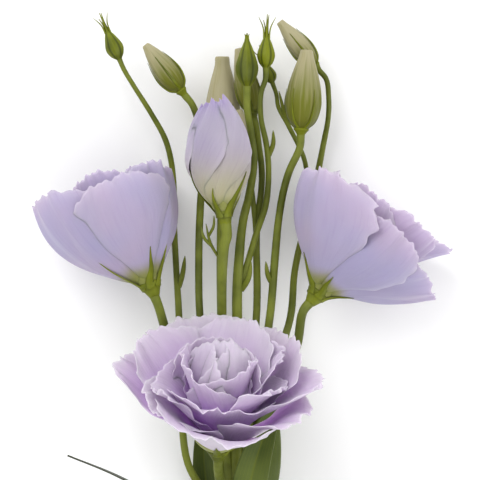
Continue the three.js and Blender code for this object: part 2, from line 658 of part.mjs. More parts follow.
function leafSurface(leaf) {
  const curve = new THREE.CatmullRomCurve3(leaf.spine.map(vec), false, "centripetal");
  return (u, v) => {
    const tangent = curve.getTangent(v);
    const side = tangent.clone().cross(vec(leaf.face)).normalize();
    const normal = side.clone().cross(tangent);
    const half = (leaf.wide / 2) * leafSpread(v);
    const { fold, wave } = { ...LEAF, ...leaf };
    const rise = fold * Math.abs(u) * half + wave * Math.sin(9 * v + (u > 0 ? 2 : 0)) * u * u;
    return curve.getPoint(v).addScaledVector(side, u * half).addScaledVector(normal, rise);
  };
}

for (const leaf of LEAVES) addNode(leaf.name, shell(leafSurface(leaf), LEAF_CELLS, LEAF_THICK), "leaf");

spray.position.set(-SPRAY_CENTRE[0], -SPRAY_CENTRE[1], 0);

export default spray;
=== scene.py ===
"""Finished look of a cut spray of double lisianthus, built round its CAD frame.

The file is laid out as an add-on: settings, one operator for each group of pieces, a panel and a main
function. Shapes are worked out in millimetres, in the spray's own axes before its outline is centred, and
become metres when a mesh is made.
"""

import math

import bmesh
import bpy
import numpy as np
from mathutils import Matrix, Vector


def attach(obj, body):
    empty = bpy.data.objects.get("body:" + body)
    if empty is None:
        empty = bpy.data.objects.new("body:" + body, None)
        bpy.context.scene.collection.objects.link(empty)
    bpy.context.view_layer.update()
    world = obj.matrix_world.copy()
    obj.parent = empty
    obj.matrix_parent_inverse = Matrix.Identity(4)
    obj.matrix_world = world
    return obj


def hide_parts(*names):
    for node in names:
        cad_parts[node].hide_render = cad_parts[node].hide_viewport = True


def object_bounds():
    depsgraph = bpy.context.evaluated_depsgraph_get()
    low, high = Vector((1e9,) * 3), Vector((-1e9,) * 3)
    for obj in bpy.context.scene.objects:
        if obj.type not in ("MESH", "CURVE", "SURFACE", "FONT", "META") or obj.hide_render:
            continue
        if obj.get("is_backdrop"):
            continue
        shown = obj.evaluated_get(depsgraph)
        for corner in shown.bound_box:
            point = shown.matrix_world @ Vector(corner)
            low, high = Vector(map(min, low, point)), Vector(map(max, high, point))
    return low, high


bl_info = {
    "name": "Lisianthus spray",
    "version": (1, 0, 0),
    "blender": (4, 5, 0),
    "location": "View3D > Sidebar > Lisianthus",
    "description": "Builds petals, calyxes, buds, stem and leaves of a cut lisianthus",
    "category": "Object",
}

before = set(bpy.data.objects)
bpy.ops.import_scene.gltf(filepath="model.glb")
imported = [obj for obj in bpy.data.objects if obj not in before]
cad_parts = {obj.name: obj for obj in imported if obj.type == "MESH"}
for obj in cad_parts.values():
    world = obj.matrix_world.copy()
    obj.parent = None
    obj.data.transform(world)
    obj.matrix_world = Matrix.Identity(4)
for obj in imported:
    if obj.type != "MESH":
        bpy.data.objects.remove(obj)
CAD_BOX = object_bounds()

MM = 0.001
BODY = "root"
UP = np.array([0.0, 0.0, 1.0])
SPRAY_CENTRE = np.array([2.01, -57.57, 0.0])  # middle of the spray's outline, where the origin is
PETAL_GAP = 0.35  # a stalk of the CAD frame ends this far under its flower


def srgb(red, green, blue):
    """Linear colour of the three values from 0 to 255 of a screen colour."""
    linear = []
    for value in (red, green, blue):
        share = value / 255
        linear.append(share / 12.92 if share <= 0.04045 else ((share + 0.055) / 1.055) ** 2.4)
    return tuple(linear)


# Flowers
# Lengths are in millimetres and angles in degrees. A petal's keys are:
# at: place round the axis, with 0 right, 90 towards the viewer, 180 left and 270 behind
# start and rise: where its claw begins, away from the axis and above the cup
# len and wide: its length and greatest width
# flare: lean away from the axis at the claw, in the middle and at the lip
# cup: how far it wraps round itself at the claw and at the lip
# root, blade and taper: width of the claw, share of the length where it is widest, narrowing of the lip
# roll and twist: how far one edge lies further in, and the turn round the axis along its length
# ruffle, waves and phase: height, number and place of the waves along its edges
# round and slant: how far the lip is rounded, and longer on one side
# floor: height below which it is laid flat
# depth and fair: how much painted violet shade a petal's lower part gets, 1 for a petal deep within others,
# and its paleness

PETAL = dict(
    start=4, rise=0.9, len=46, wide=34, flare=(50, 45, 45), cup=(1.1, 0.5), root=0.13, roll=0.2, twist=0,
    ruffle=1.2, waves=3, phase=0, round=0.2, slant=0, blade=0.68, taper=0.16, floor=0, depth=0, fair=0.5,
)
SECOND = dict(PETAL, start=3, rise=1.5, depth=0.45)
MIDDLE = dict(PETAL, start=2.4, rise=2, len=42, wide=30, flare=(22, 27, 50), cup=(1.1, 0.6), depth=1)
INNER = dict(MIDDLE, start=1.2, rise=2.4, len=38, wide=27, cup=(1.6, 1.2))
HEART = dict(INNER, ruffle=0.6, depth=0.5, fair=0.2)
CUPPED = dict(PETAL, cup=(1.1, 0.95), ruffle=0.9, root=0.15)
INSIDE = dict(MIDDLE, cup=(1.1, 0.95), ruffle=0.9, root=0.15, floor=1.2, depth=0.3)
WOUND = dict(
    PETAL, start=2.8, wide=34, flare=(48, -5, -40), cup=(1.15, 1.7), twist=-105, ruffle=0.3,
    round=0.3, blade=0.5, taper=0.72, roll=0.13,
)

# A flower's keys are its place and direction, its tint, the strength of its frill and of the folds down its
# blades, whether its middle is furled, rows (height, radius) of its cup and tube, its petals and its sepals.
# A sepal is the number of the petal under it, the share of that petal it reaches and its place across it.
FRONT_BLOOM = dict(
    name="front_bloom", base=(-8.1, -75.5, 44), axis=(0, 0.85, 0.53), tint="pale", frill=1, billow=0.3,
    furled=False, cup=[(-5.5, 2.1), (-2.5, 3.8), (-0.4, 5)], tube=[(0, 5), (5, 9)],
    petals=[
        dict(PETAL, at=92, len=43.5, wide=46, flare=(62, 15, 78), ruffle=1.7, phase=0.4, fair=0.7),
        dict(PETAL, at=38, len=42, wide=37, flare=(60, 22, 76), ruffle=2, phase=1.4),
        dict(PETAL, at=318, len=46, wide=44, flare=(60, 24, 50), ruffle=2.2, phase=2.9),
        dict(PETAL, at=250, len=47, wide=44, flare=(60, 22, 54), ruffle=1.8, phase=4.0, fair=1),
        dict(PETAL, at=199, len=46, wide=26, flare=(61, 35, 60), ruffle=1.6, round=0.3, taper=0.45),
        dict(SECOND, at=134, len=37, wide=37, flare=(53, 9, 74), slant=0.1, ruffle=1.8, phase=1.7, fair=1),
        dict(SECOND, at=4, len=46, wide=34, flare=(42, 46, 66), ruffle=1.5, phase=2.2),
        dict(SECOND, at=216, len=47, wide=30, flare=(40, 36, 50), ruffle=2, phase=5.0),
        dict(SECOND, at=287, len=45.5, wide=36, flare=(36, 24, 42), ruffle=1.6, phase=0.7),
        dict(MIDDLE, at=80, len=39, wide=42, flare=(30, 26, 58), slant=0.14, ruffle=2, phase=0.9),
        dict(MIDDLE, at=22, len=39, wide=34, flare=(34, 26, 56), slant=0.12, ruffle=2, phase=3.3),
        dict(MIDDLE, at=332, len=41, twist=14, slant=-0.12, ruffle=2.2, phase=2.6),
        dict(MIDDLE, at=160, len=39, wide=33, flare=(25, 28, 55), slant=-0.12, ruffle=2.2, phase=5.6),
        dict(INNER, at=132, len=40, wide=34, flare=(26, 14, 20), slant=0.14, phase=0.2),
        dict(INNER, at=50, len=39, wide=32, flare=(24, 12, 16), slant=-0.14, phase=1.9),
        dict(HEART, at=274, len=40, wide=44, flare=(22, 14, 8), cup=(1.5, 1.2), phase=3.7),
        dict(HEART, at=98, len=46, wide=40, flare=(26, 4, -56), cup=(1.6, 1.5), phase=2.1),
        dict(HEART, at=268, len=37, wide=34, flare=(24, 10, -6), cup=(1.5, 1.3), phase=1.1),
        dict(HEART, at=292, len=36, wide=24, flare=(18, 6, -14), phase=2.8),
        dict(HEART, at=158, start=1.8, len=43, wide=32, flare=(27, 6, -40), slant=0.12, phase=0.8),
        dict(HEART, at=36, start=1.8, len=42, wide=32, flare=(27, 8, -36), slant=-0.1, phase=4.6),
    ],
    sepals=[(0, 0.34, 0), (1, 0.4, 0), (2, 0.4, 0), (3, 0.4, 0), (4, 0.4, 0)],
)
SIDE_CUP = [(-5, 1.9), (-2.6, 3.3), (-0.4, 4.4)]
SIDE_TUBE = [(0, 4.4), (4, 5.8)]
LEFT_BLOOM = dict(
    name="left_bloom", base=(-33.7, -15.9, 29), axis=(-0.36, 0.92, -0.1), tint="blue", frill=0.9, billow=0.7,
    furled=False, cup=SIDE_CUP, tube=SIDE_TUBE,
    petals=[
        dict(CUPPED, at=86, len=46, wide=45, flare=(48, 42, 4), roll=-0.12, phase=0.3),
        dict(CUPPED, at=28, len=45, wide=38, flare=(48, 20, 2), slant=0.08, phase=1.5),
        dict(CUPPED, at=156, len=53, wide=50, flare=(63, 35, -10), roll=-0.12, round=0.12, phase=2.5),
        dict(CUPPED, at=228, len=48, wide=42, flare=(56, 42, -10), phase=3.5),
        dict(CUPPED, at=300, len=45, wide=40, flare=(48, 42, 4), phase=4.5),
        dict(INSIDE, at=40, len=43, wide=36, flare=(34, 22, 8), phase=0.9),
        dict(INSIDE, at=108, len=46, wide=37, flare=(38, 20, 4), phase=1.9),
        dict(INSIDE, at=280, len=46, wide=38, flare=(36, 24, 4), phase=3.9),
    ],
    sepals=[(0, 0.3, -0.35), (1, 0.35, 0), (2, 0.4, -0.3), (3, 0.4, 0), (4, 0.4, 0)],
)
RIGHT_BLOOM = dict(
    name="right_bloom", base=(29.2, -19.2, 30), axis=(0.62, 0.78, -0.12), tint="blue", frill=0.9, billow=0.7,
    furled=False, cup=SIDE_CUP, tube=SIDE_TUBE,
    petals=[
        dict(CUPPED, at=138, len=47, wide=57, flare=(66, 46, 18), roll=0, twist=6, slant=-0.1),
        dict(CUPPED, at=74, len=43, wide=40, flare=(54, 52, 12), roll=0.3, phase=1.2),
        dict(CUPPED, at=14, len=40, wide=44, flare=(54, 60, 36), ruffle=1.3, phase=2.5),
        dict(CUPPED, at=302, len=45, wide=40, flare=(54, 54, 18), phase=3.5),
        dict(CUPPED, at=226, len=44, wide=40, flare=(54, 50, 6), phase=4.5),
        dict(INSIDE, at=338, len=52, wide=30, flare=(34, 32, 40), ruffle=1.3, phase=0.9),
        dict(INSIDE, at=50, len=46, wide=36, flare=(40, 32, 22), phase=0.1),
        dict(INSIDE, at=112, len=43, wide=37, flare=(40, 28, 14), phase=5.1),
        dict(INSIDE, at=190, len=44, wide=34, flare=(40, 32, 8), phase=4.9),
    ],
    sepals=[(0, 0.28, 0.2), (1, 0.2, 0.3), (2, 0.24, 0), (3, 0.4, 0), (4, 0.4, 0)],
)
OPENING_BLOOM = dict(
    name="opening_bloom", base=(-5.9, 10.9, 37), axis=(-0.1, 0.99, 0.05), tint="cream", frill=0.5, billow=0.4,
    furled=True, cup=[(-5, 2), (-2.6, 2.6), (-0.4, 3.4)], tube=[(0, 3.4), (4, 4.9)],
    petals=[
        dict(WOUND, at=at, len=length)
        for at, length in ((132, 46), (60, 44), (204, 45), (276, 43), (348, 43))
    ],
    sepals=[(0, 0.22, 0), (1, 0.34, 0), (2, 0.4, 0), (3, 0.3, 0), (4, 0.3, 0)],
)
BLOOMS = [FRONT_BLOOM, LEFT_BLOOM, RIGHT_BLOOM, OPENING_BLOOM]

# A furled bud shows its wound petals between five sepals; a green bud is still closed in its calyx.
# sepal is the share of the bud that its sepals reach, tip its bluntness, cream how far up it turns pale, and
# turn how far its sepals are turned round it. teeth is the length of a green bud's free points.
FURLED_BUDS = [
    dict(name="bud_2", base=(-22.2, 56.2, 19), axis=(-0.62, 0.79, 0.03), len=21.6, wide=9.6,
         sepal=0.85, tip=0.2, cream=0.15, turn=0),
    dict(name="bud_3", base=(-6.7, 33.3, 9), axis=(0, 1, 0), len=36, wide=13.6,
         sepal=0.5, tip=0.36, cream=-0.3, turn=36),
    dict(name="bud_4", base=(4.8, 48.1, 14), axis=(-0.225, 0.974, 0), len=24.7, wide=9,
         sepal=0.7, tip=0.2, cream=0.2, turn=0),
    dict(name="bud_8", base=(28.1, 65.9, 14), axis=(-0.63, 0.775, 0.05), len=21, wide=8.3,
         sepal=0.85, tip=0.3, cream=0.0, turn=0),
    dict(name="bud_9", base=(22.9, 41.6, 22), axis=(0.07, 0.997, 0), len=29.5, wide=13.4,
         sepal=0.62, tip=0.3, cream=0.2, turn=36),
    dict(name="bud_10", base=(3, 27.8, 18), axis=(-0.156, 0.988, 0), len=21.4, wide=7.8,
         sepal=0.6, tip=0.2, cream=-0.1, turn=0),
]
FURLED_HEEL = 2.6  # how far the cup of a furled bud reaches down its stalk
GREEN_BUDS = [
    dict(name="bud_1", base=(-45.1, 67.7, 23), axis=(-0.4, 0.92, 0.03), len=12.1, wide=6.6, teeth=6.5),
    dict(name="bud_5", base=(2.6, 57.4, 25), axis=(0, 1, 0), len=17.8, wide=8.4, teeth=2),
    dict(name="bud_6", base=(9.6, 64.4, 22), axis=(0.03, 1, 0), len=12.6, wide=6.6, teeth=7.4),
    dict(name="bud_7", base=(12.2, 59.2, 13), axis=(-0.33, 0.94, 0), len=8, wide=5, teeth=7),
]
# Share of the length and of the half width, from the stalk to the tip.
FURLED_PROFILE = [(0, 0.3), (0.1, 0.74), (0.3, 1), (0.5, 0.94), (0.72, 0.7), (0.9, 0.44), (1, 0.24)]
GREEN_PROFILE = [(0, 0.34), (0.14, 0.76), (0.36, 1), (0.68, 0.68), (1, 0.14)]

# Stem
# Points are (x, y, z, radius). The main stem's cut end lies on the floor.
CUT_END = (2, -200, 2.587, 2.8)
FORK = (-2, -104, 18, 2.3)
LOW_FORK = (-1, -116, 14.5, 2.4)
MAIN_STEM = [CUT_END, (3.5, -180, 4, 2.7), (2.5, -160, 6.5, 2.6), (0.5, -138, 9.5, 2.5), LOW_FORK, FORK]
STALKS = dict(
    front_bloom=[FORK, (-6.5, -94, 27, 1.8), (-8, -86, 35, 1.7)],
    left_bloom=[
        LOW_FORK, (-4.4, -92, 18, 1.9), (-14.8, -66.6, 20, 1.8), (-22.2, -48.1, 22, 1.7),
        (-27.8, -33.3, 25, 1.7),
    ],
    right_bloom=[
        LOW_FORK, (3.7, -82, 18, 1.9), (9.3, -62.9, 20, 1.8), (15.9, -50, 22, 1.7), (21.1, -39.6, 25, 1.7),
    ],
    opening_bloom=[
        FORK, (-7, -60, 21, 1.8), (-6.7, -29.6, 25, 1.7), (-6.7, -14.8, 31, 1.8), (-5.9, -2, 36, 2),
    ],
    bud_1=[
        LOW_FORK, (-12, -97, 16, 1.5), (-19.6, -84, 15, 1.4), (-22.2, -59.2, 14, 1.3),
        (-22.9, -29.6, 16, 1.3), (-24, -11.1, 13.6, 1.2), (-25, 7.4, 11.2, 1.2), (-25.2, 24, 11.6, 1.1),
        (-27.8, 37, 14, 1.1), (-33.3, 47.4, 16, 1), (-39.6, 57.4, 20, 0.9),
    ],
    bud_2=[
        FORK, (-9.6, -66.6, 19, 1.5), (-14.8, -31.5, 19, 1.4), (-15.5, -7, 17, 1.4), (-14.8, 14.8, 14, 1.4),
        (-13.7, 29.6, 13, 1.3), (-14.8, 40.7, 13, 1.3),
    ],
    bud_3=[FORK, (-6, -60, 15, 1.5), (-7.5, -10, 10, 1.4)],
    bud_5=[
        FORK, (-0.7, -51.8, 22, 2), (-1.1, -22.2, 24, 1.9), (-0.4, -7.4, 24.5, 1.8), (1.1, 7, 24.5, 1.6),
        (3.3, 16.3, 24.5, 1.5), (5.2, 29.6, 24.5, 1.4), (4.1, 40, 24.5, 1.3), (2.6, 49.6, 25, 1.3),
    ],
    bud_4=[
        FORK, (2.6, -66.6, 17, 1.5), (6.3, -25.9, 17, 1.4), (6.3, 3.7, 16.5, 1.3), (8.1, 20.4, 16, 1.2),
        (8.1, 27.8, 15, 1.2), (7, 36, 14, 1.2),
    ],
    bud_10=[(6.3, -2, 16.6, 1), (5.2, 12, 17.4, 1)],
    bud_6=[
        (-0.7, -19, 24, 1.1), (2.6, -9.3, 22.5, 1.2), (6.3, 3, 21, 1.2), (9.6, 13, 20, 1.2),
        (10.7, 25, 20, 1.1), (10, 35.2, 20, 1.1), (7.8, 46, 21, 1), (7.9, 55, 22, 1),
    ],
    bud_8=[
        FORK, (3, -78, 16, 1.6), (12, -50, 15, 1.5), (18.9, -29.6, 13, 1.4), (20.7, -11.8, 9, 1.3),
        (24.1, 3.7, 6.2, 1.2), (28, 18, 5.2, 1.2), (29.6, 26, 6.2, 1.2), (31.5, 36, 9, 1.1),
        (33.3, 46.3, 12, 1), (33.4, 54, 13, 1),
    ],
    bud_7=[
        (23.8, 3, 6.3, 1), (25.2, 20, 6.6, 1), (24.4, 30, 10.5, 0.9), (18.5, 42.6, 13, 0.9),
        (14.5, 50, 13, 0.8),
    ],
    bud_9=[
        FORK, (3.7, -66.6, 20, 1.7), (8.1, -48.1, 21, 1.6), (11.5, -25.9, 22, 1.5), (13, -7.4, 23, 1.5),
        (14.4, 7.4, 23, 1.4), (16.3, 18.5, 23, 1.4), (18.5, 25.9, 22.5, 1.4),
    ],
)
# Small pointed bracts of the stem: root, middle, tip and half width.
BRACTS = [
    ((-23, -18, 14.6), (-21.4, -12, 18), (-20.6, -6, 20.5), 1.2),
    ((0.4, -19, 24), (3.2, -14, 26.5), (4.2, -8, 27), 1.3),
    ((12.4, -17, 22.6), (10.4, -13, 25), (9.6, -8, 26), 1.2),
    ((10.6, 31, 20), (12.4, 36, 21.5), (12.4, 41, 22), 1.1),
    ((18.8, 42, 13), (16.4, 49, 14.5), (14.6, 56, 16), 0.9),
    ((-7, -8, 33), (-11, -1, 35), (-12.6, 6, 36), 0.6),
    ((-10.2, -2.5, 34.6), (-13.4, 1, 36), (-14.4, 5, 36.5), 0.7),
    ((-11.6, 1.5, 35.2), (-9.8, 5, 36.4), (-9.6, 9, 37.6), 0.6),
]

# Ovate pointed leaves. spine runs from the root to the tip, and face is the way the upper side looks. fold is
# the rise of the halves from the midrib as a share, wave the height of the waves and dark a share of painted
# shade.
LEAF = dict(fold=0.3, wave=0.6, dark=0)
LEAVES = [
    dict(LEAF, name="leaf_1", wide=10, face=(0.1, 0, 1),
         spine=[(-2, -126, 8.6), (-7, -112, 8), (-13.2, -89, 7), (-13.6, -58, 8)]),
    dict(LEAF, name="leaf_2", wide=14, face=(-0.2, -0.2, 1),
         spine=[(0.6, -126, 15.5), (2.2, -112, 24), (4.2, -89, 29), (14.6, -56, 30)]),
    dict(LEAF, name="leaf_3", wide=12, face=(0.3, 0, 1),
         spine=[(1.5, -113, 12.1), (6.4, -100, 9.6), (9.6, -80, 8.5), (11, -52, 8)]),
    # This narrow leaf lies edge-on in shade, and dark gives it painted shade.
    dict(LEAF, fold=0, wave=0.1, dark=0.75, name="leaf_4", wide=8, face=(0.5, 0.87, 0),
         spine=[(-5, -115, 15), (-20, -103, 18), (-45.5, -88.8, 18), (-64.8, -81, 16)]),
    dict(LEAF, name="leaf_5", wide=26, face=(0.2, -0.2, 1),
         spine=[(-1.2, -167, 5.5), (-12, -161, 9), (-28, -145, 7), (-40, -117, 2)]),
    dict(LEAF, name="leaf_6", wide=26, face=(-0.2, -0.2, 1),
         spine=[(6.6, -165, 5.5), (17, -159, 9), (32, -142, 7), (42, -113, 2)]),
]


# Curves and frames

TINY = 1e-9  # keeps a length that is divided by above nothing
NEAR = 0.004  # how far to each side of a place the direction of a curve is measured, as a share of it


def unit(vectors):
    """The same directions, each with length 1."""
    return vectors / np.maximum(np.linalg.norm(vectors, axis=-1, keepdims=True), TINY)


def mix(a, b, t):
    """Value at t on the way from a to b."""
    return a + (b - a) * t


def smooth(t):
    """Eased step from 0 to 1."""
    s = np.clip(t, 0, 1)
    return s * s * (3 - 2 * s)


def bend(three, t):
    """Value at t of the curve from the first number to the last that is drawn to the middle one."""
    s = 1 - t
    return s * s * three[0] + 2 * s * t * three[1] + t * t * three[2]


class Path:
    """Centripetal curve through points; called with shares from 0 to 1 it gives places on it."""

    def __init__(self, points):
        inner = np.array(points, float)
        first = 2 * inner[:1] - inner[1:2]
        last = 2 * inner[-1:] - inner[-2:-1]
        self.points = np.concatenate([first, inner, last])
        self.spans = len(inner) - 1

    def __call__(self, t):
        place = np.clip(np.asarray(t, float), 0, 1) * self.spans
        i = np.minimum(place.astype(int), self.spans - 1)
        w = (place - i)[..., None]
        p0, p1, p2, p3 = (self.points[i + k] for k in range(4))
        pairs = ((p0, p1), (p1, p2), (p2, p3))
        d0, d1, d2 = (np.sqrt(np.linalg.norm(b - a, axis=-1, keepdims=True)) + TINY for a, b in pairs)
        leave = d1 * ((p1 - p0) / d0 - (p2 - p0) / (d0 + d1) + (p2 - p1) / d1)
        reach = d1 * ((p2 - p1) / d1 - (p3 - p1) / (d1 + d2) + (p3 - p2) / d2)
        curve = 2 * p1 - 2 * p2 + leave + reach
        return p1 + w * (leave + w * (3 * p2 - 3 * p1 - 2 * leave - reach + w * curve))

    def heading(self, t):
        """Directions in which the curve runs."""
        t = np.asarray(t, float)
        return unit(self(t + NEAR) - self(t - NEAR))


class Seat:
    """Frame of a flower or bud. axis runs up it, right to the spray's right and front towards the viewer."""

    def __init__(self, flower):
        self.base = np.array(flower["base"], float)
        self.axis = unit(np.array(flower["axis"], float))
        self.right = unit(np.cross(self.axis, UP))
        self.front = np.cross(self.right, self.axis)

    def outward(self, degrees):
        """Direction away from the axis at an angle round it."""
        turn = np.radians(np.asarray(degrees, float))
        return np.cos(turn)[..., None] * self.right + np.sin(turn)[..., None] * self.front

    def at(self, degrees, radius, height):
        """Place at an angle round the axis, a radius and a height."""
        degrees, radius, height = (np.asarray(value, float) for value in (degrees, radius, height))
        return self.base + height[..., None] * self.axis + radius[..., None] * self.outward(degrees)


# Meshes
# A part is a dictionary of points in millimetres, faces, uv and shares that its material reads.
# inner is 1 on the inside of a petal and tone is its paleness. depth is a share of painted shade: 1 for a
# petal within others and in the seams of a green bud, and the painted shade of a leaf.

SHARES = ("inner", "tone", "depth")
SLOPE_STEP = 0.01  # how far to each side of a place the slope of a surface is measured
LAID_THICKNESS = 1.8  # thickness of what is laid flat on the floor, in halves of its own
THINNEST = 0.02  # least radius of a turned body
BLADE_THINNING = 0.75  # how much thinner the tip of a narrow blade is than its root
# Section of a narrow blade, in shares of its half width and of its thickness, keeled on the upper side.
KEELED_SECTION = np.array([
    (1, -0.5), (0.55, 0.0), (0.18, 0.28), (0, 0.5), (-0.18, 0.28), (-0.55, 0.0), (-1, -0.5), (-0.5, -0.34),
    (0, -0.28), (0.5, -0.34),
])


def part(points, faces, uv, inner=0.0, tone=0.0, depth=0.0):
    """One body, with each share spread over its points."""
    spread = {
        name: np.broadcast_to(share, len(points)).astype(np.float32)
        for name, share in zip(SHARES, (inner, tone, depth))
    }
    return {"points": points, "faces": faces, "uv": uv, **spread}


def mesh_of(name, parts):
    """One mesh of all the parts, in metres in the frame's own axes, smooth shaded."""
    faces = []
    start = 0
    for one in parts:
        faces.extend(tuple(int(i) + start for i in face) for face in one["faces"])
        start += len(one["points"])
    points = (np.concatenate([one["points"] for one in parts]) - SPRAY_CENTRE) * MM
    mesh = bpy.data.meshes.new(name)
    mesh.from_pydata(points.tolist(), [], faces)
    corners = np.empty(len(mesh.loops), np.int32)
    mesh.loops.foreach_get("vertex_index", corners)
    uv = np.concatenate([one["uv"] for one in parts]).astype(np.float32)
    mesh.uv_layers.new(name="UVMap").data.foreach_set("uv", uv[corners].ravel())
    for share in SHARES:
        values = np.concatenate([one[share] for one in parts])
        mesh.attributes.new(share, "FLOAT", "POINT").data.foreach_set("value", values)
    mesh.shade_smooth()
    mesh.validate()
    return mesh


def place(name, mesh, material, slot, *nodes):
    """Shows a finished mesh in place of CAD nodes."""
    mesh.materials.clear()
    mesh.materials.append(material)
    piece = bpy.data.objects.new(name, mesh)
    bpy.context.scene.collection.objects.link(piece)
    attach(piece, BODY)
    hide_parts(*nodes)
    return piece


def shell(surface, cells, thickness, floor=0.0, tone=0.0, depth=0.0):
    """Closed thin shell on both sides of a surface. What would sink below the floor is laid flat on it."""
    across, along = cells
    u, v = np.meshgrid(np.linspace(-1, 1, across + 1), np.linspace(0, 1, along + 1))
    middle = surface(u, v)
    du = surface(np.minimum(1, u + SLOPE_STEP), v) - surface(np.maximum(-1, u - SLOPE_STEP), v)
    dv = surface(u, np.minimum(1, v + SLOPE_STEP)) - surface(u, np.maximum(0, v - SLOPE_STEP))
    half = 0.5 * thickness(u, v)[..., None] * unit(np.cross(du, dv))
    inside = middle + half
    outside = middle - half
    inside[..., 2] = np.maximum(inside[..., 2], floor + LAID_THICKNESS * np.linalg.norm(half, axis=-1))
    outside[..., 2] = np.maximum(outside[..., 2], floor)
    row = across + 1
    back = row * (along + 1)
    grid = (np.arange(along)[:, None] * row + np.arange(across)).ravel()
    quads = np.stack([grid, grid + 1, grid + row + 1, grid + row], axis=1)
    rim = np.concatenate([
        np.arange(across),
        np.arange(along) * row + across,
        along * row + np.arange(across, 0, -1),
        np.arange(along, 0, -1) * row,
    ])
    following = np.roll(rim, -1)
    band = np.stack([rim, rim + back, following + back, following], axis=1)
    faces = np.concatenate([quads, quads[:, ::-1] + back, band])
    points = np.concatenate([inside.reshape(-1, 3), outside.reshape(-1, 3)])
    sheet_uv = np.stack([(u + 1) / 2, v], axis=-1).reshape(-1, 2)
    inner = np.repeat([1.0, 0.0], back)
    return part(points, faces, np.concatenate([sheet_uv, sheet_uv]), inner, tone, depth)


def points_inwards(points, faces):
    """True where the faces of a closed body are turned inside out."""
    whole = points - points.mean(axis=0)
    volume = 0.0
    for face in faces:
        for k in range(1, len(face) - 1):
            volume += np.dot(whole[face[0]], np.cross(whole[face[k]], whole[face[k + 1]]))
    return volume < 0


def loft(rings, first, last, tone=0.0):
    """Closed body through rings of points, with a fan to a middle point at each end."""
    count, sides = rings.shape[:2]
    a = (np.arange(count - 1)[:, None] * sides + np.arange(sides)).ravel()
    b = (np.arange(count - 1)[:, None] * sides + (np.arange(sides) + 1) % sides).ravel()
    faces = np.stack([a, a + sides, b + sides, b], axis=1).tolist()
    start = count * sides
    for s in range(sides):
        following = (s + 1) % sides
        faces.append([start, s, following])
        faces.append([start + 1, start - sides + following, start - sides + s])
    points = np.concatenate([rings.reshape(-1, 3), [first, last]])
    if points_inwards(points, faces):
        faces = [face[::-1] for face in faces]
    round_share, height_share = np.meshgrid(np.arange(sides) / sides, np.linspace(0, 1, count))
    uv = np.stack([round_share, height_share], axis=-1).reshape(-1, 2)
    return part(points, faces, np.concatenate([uv, [[0.5, 0.0], [0.5, 1.0]]]), 0.0, tone)


def turned(seat, rows, cells, fold=None, tone=0.0):
    """Round body on a seat's axis through rows of (height, radius); fold gives a share of the radius."""
    sides, rings = cells
    profile = Path([(height, radius, 0) for height, radius in rows])
    share = np.linspace(0, 1, rings)
    heights, radii, _ = profile(share).T
    degrees, along = np.meshgrid(np.arange(sides) * 360 / sides, share)
    around = np.maximum(radii, THINNEST)[:, None] * (1.0 if fold is None else fold(degrees, along))
    points = seat.at(degrees, around, np.broadcast_to(heights[:, None], degrees.shape))
    return loft(points, seat.at(0, 0, heights[0]), seat.at(0, 0, heights[-1]), tone)


def blade(points, face, half_width, thick, steps, tone=0.0):
    """Narrow pointed blade along points, keeled on the side towards face."""
    path = Path(points)
    share = np.linspace(0, 1, steps + 1)
    middle = path(share)
    heading = path.heading(share)
    wide = unit(np.cross(heading, np.array(face, float)))
    thin = np.cross(wide, heading)
    half = half_width(share)[:, None, None] * wide[:, None]
    deep = (thick * (1 - BLADE_THINNING * share**2))[:, None, None] * thin[:, None]
    section = KEELED_SECTION[None, :, :]
    rings = middle[:, None] + section[..., :1] * half + section[..., 1:] * deep
    return loft(rings, middle[0], middle[-1], tone)


def pointed(tip, more, power=1.0):
    """Half width of a pointed blade: that of its tip, and how much more it has at its root."""
    def half_width(share):
        return tip + more * (1 - share) ** power

    return half_width


# Petals
# u runs from -1 to 1 across a petal, v from 0 at its claw to 1 at its lip, and along is v within the outline
# of the lip. The numbers in the waves are how often they come and how far each petal's phase shifts them.

PROFILE_STEPS = 96  # steps in which the course of a petal's middle is worked out
OVERRUN = 1.1  # a profile runs on past the tip for petals that are longer on one side
TEETH = [(8, 3), (19, 5), (37, 1)]  # waves that add up to the teeth of the lip


def petal_spread(v, p):
    """Width of a petal as a share of its widest, along its length: narrow claw, broad blade, eased tip."""
    opening = p["root"] + (1 - p["root"]) * np.sin(np.clip(v / p["blade"], 0, 1) * np.pi / 2) ** 1.3
    easing = 1 - p["taper"] * (np.maximum(v - p["blade"], 0) / (1 - p["blade"])) ** 2
    return np.where(v < p["blade"], opening, easing)


def petal_profile(p):
    """Shares of the length, with the radius and the height of the petal's middle at each."""
    leans = np.radians(bend(p["flare"], OVERRUN * (np.arange(PROFILE_STEPS) + 0.5) / PROFILE_STEPS))
    stride = OVERRUN * p["len"] / PROFILE_STEPS
    radii = p["start"] + np.concatenate([[0], np.cumsum(np.sin(leans))]) * stride
    heights = p["rise"] + np.concatenate([[0], np.cumsum(np.cos(leans))]) * stride
    return np.linspace(0, OVERRUN, PROFILE_STEPS + 1), radii, heights


def lip_teeth(u, phase):
    """How deep the shallow teeth cut into the lip."""
    return 0.5 + 0.2 * sum(np.sin(count * u + shift * phase) for count, shift in TEETH)


def side_nicks(u, along, phase):
    """How deep the shallow teeth cut into the two sides."""
    return u**8 * along * (np.sin(26 * along + 2 * phase) + 0.6 * np.sin(47 * along + phase))


def edge_waves(u, along, waves, phase):
    """Broad waves of the sides and of the lip."""
    sides = u * u * along * np.sin(waves * np.pi * along + phase + np.where(u > 0, 1.9, 0.0))
    return sides + 0.6 * along**4 * np.sin(1.7 * waves * u + 2 * phase)


def fine_ruffles(u, along, phase):
    """Fine ruffles of the lip and the sides."""
    lip = along**8 * np.sin(13 * u + 4 * phase) + 0.5 * along**14 * np.sin(29 * u + phase)
    return lip + u**8 * along * np.sin(21 * along + 3 * phase)


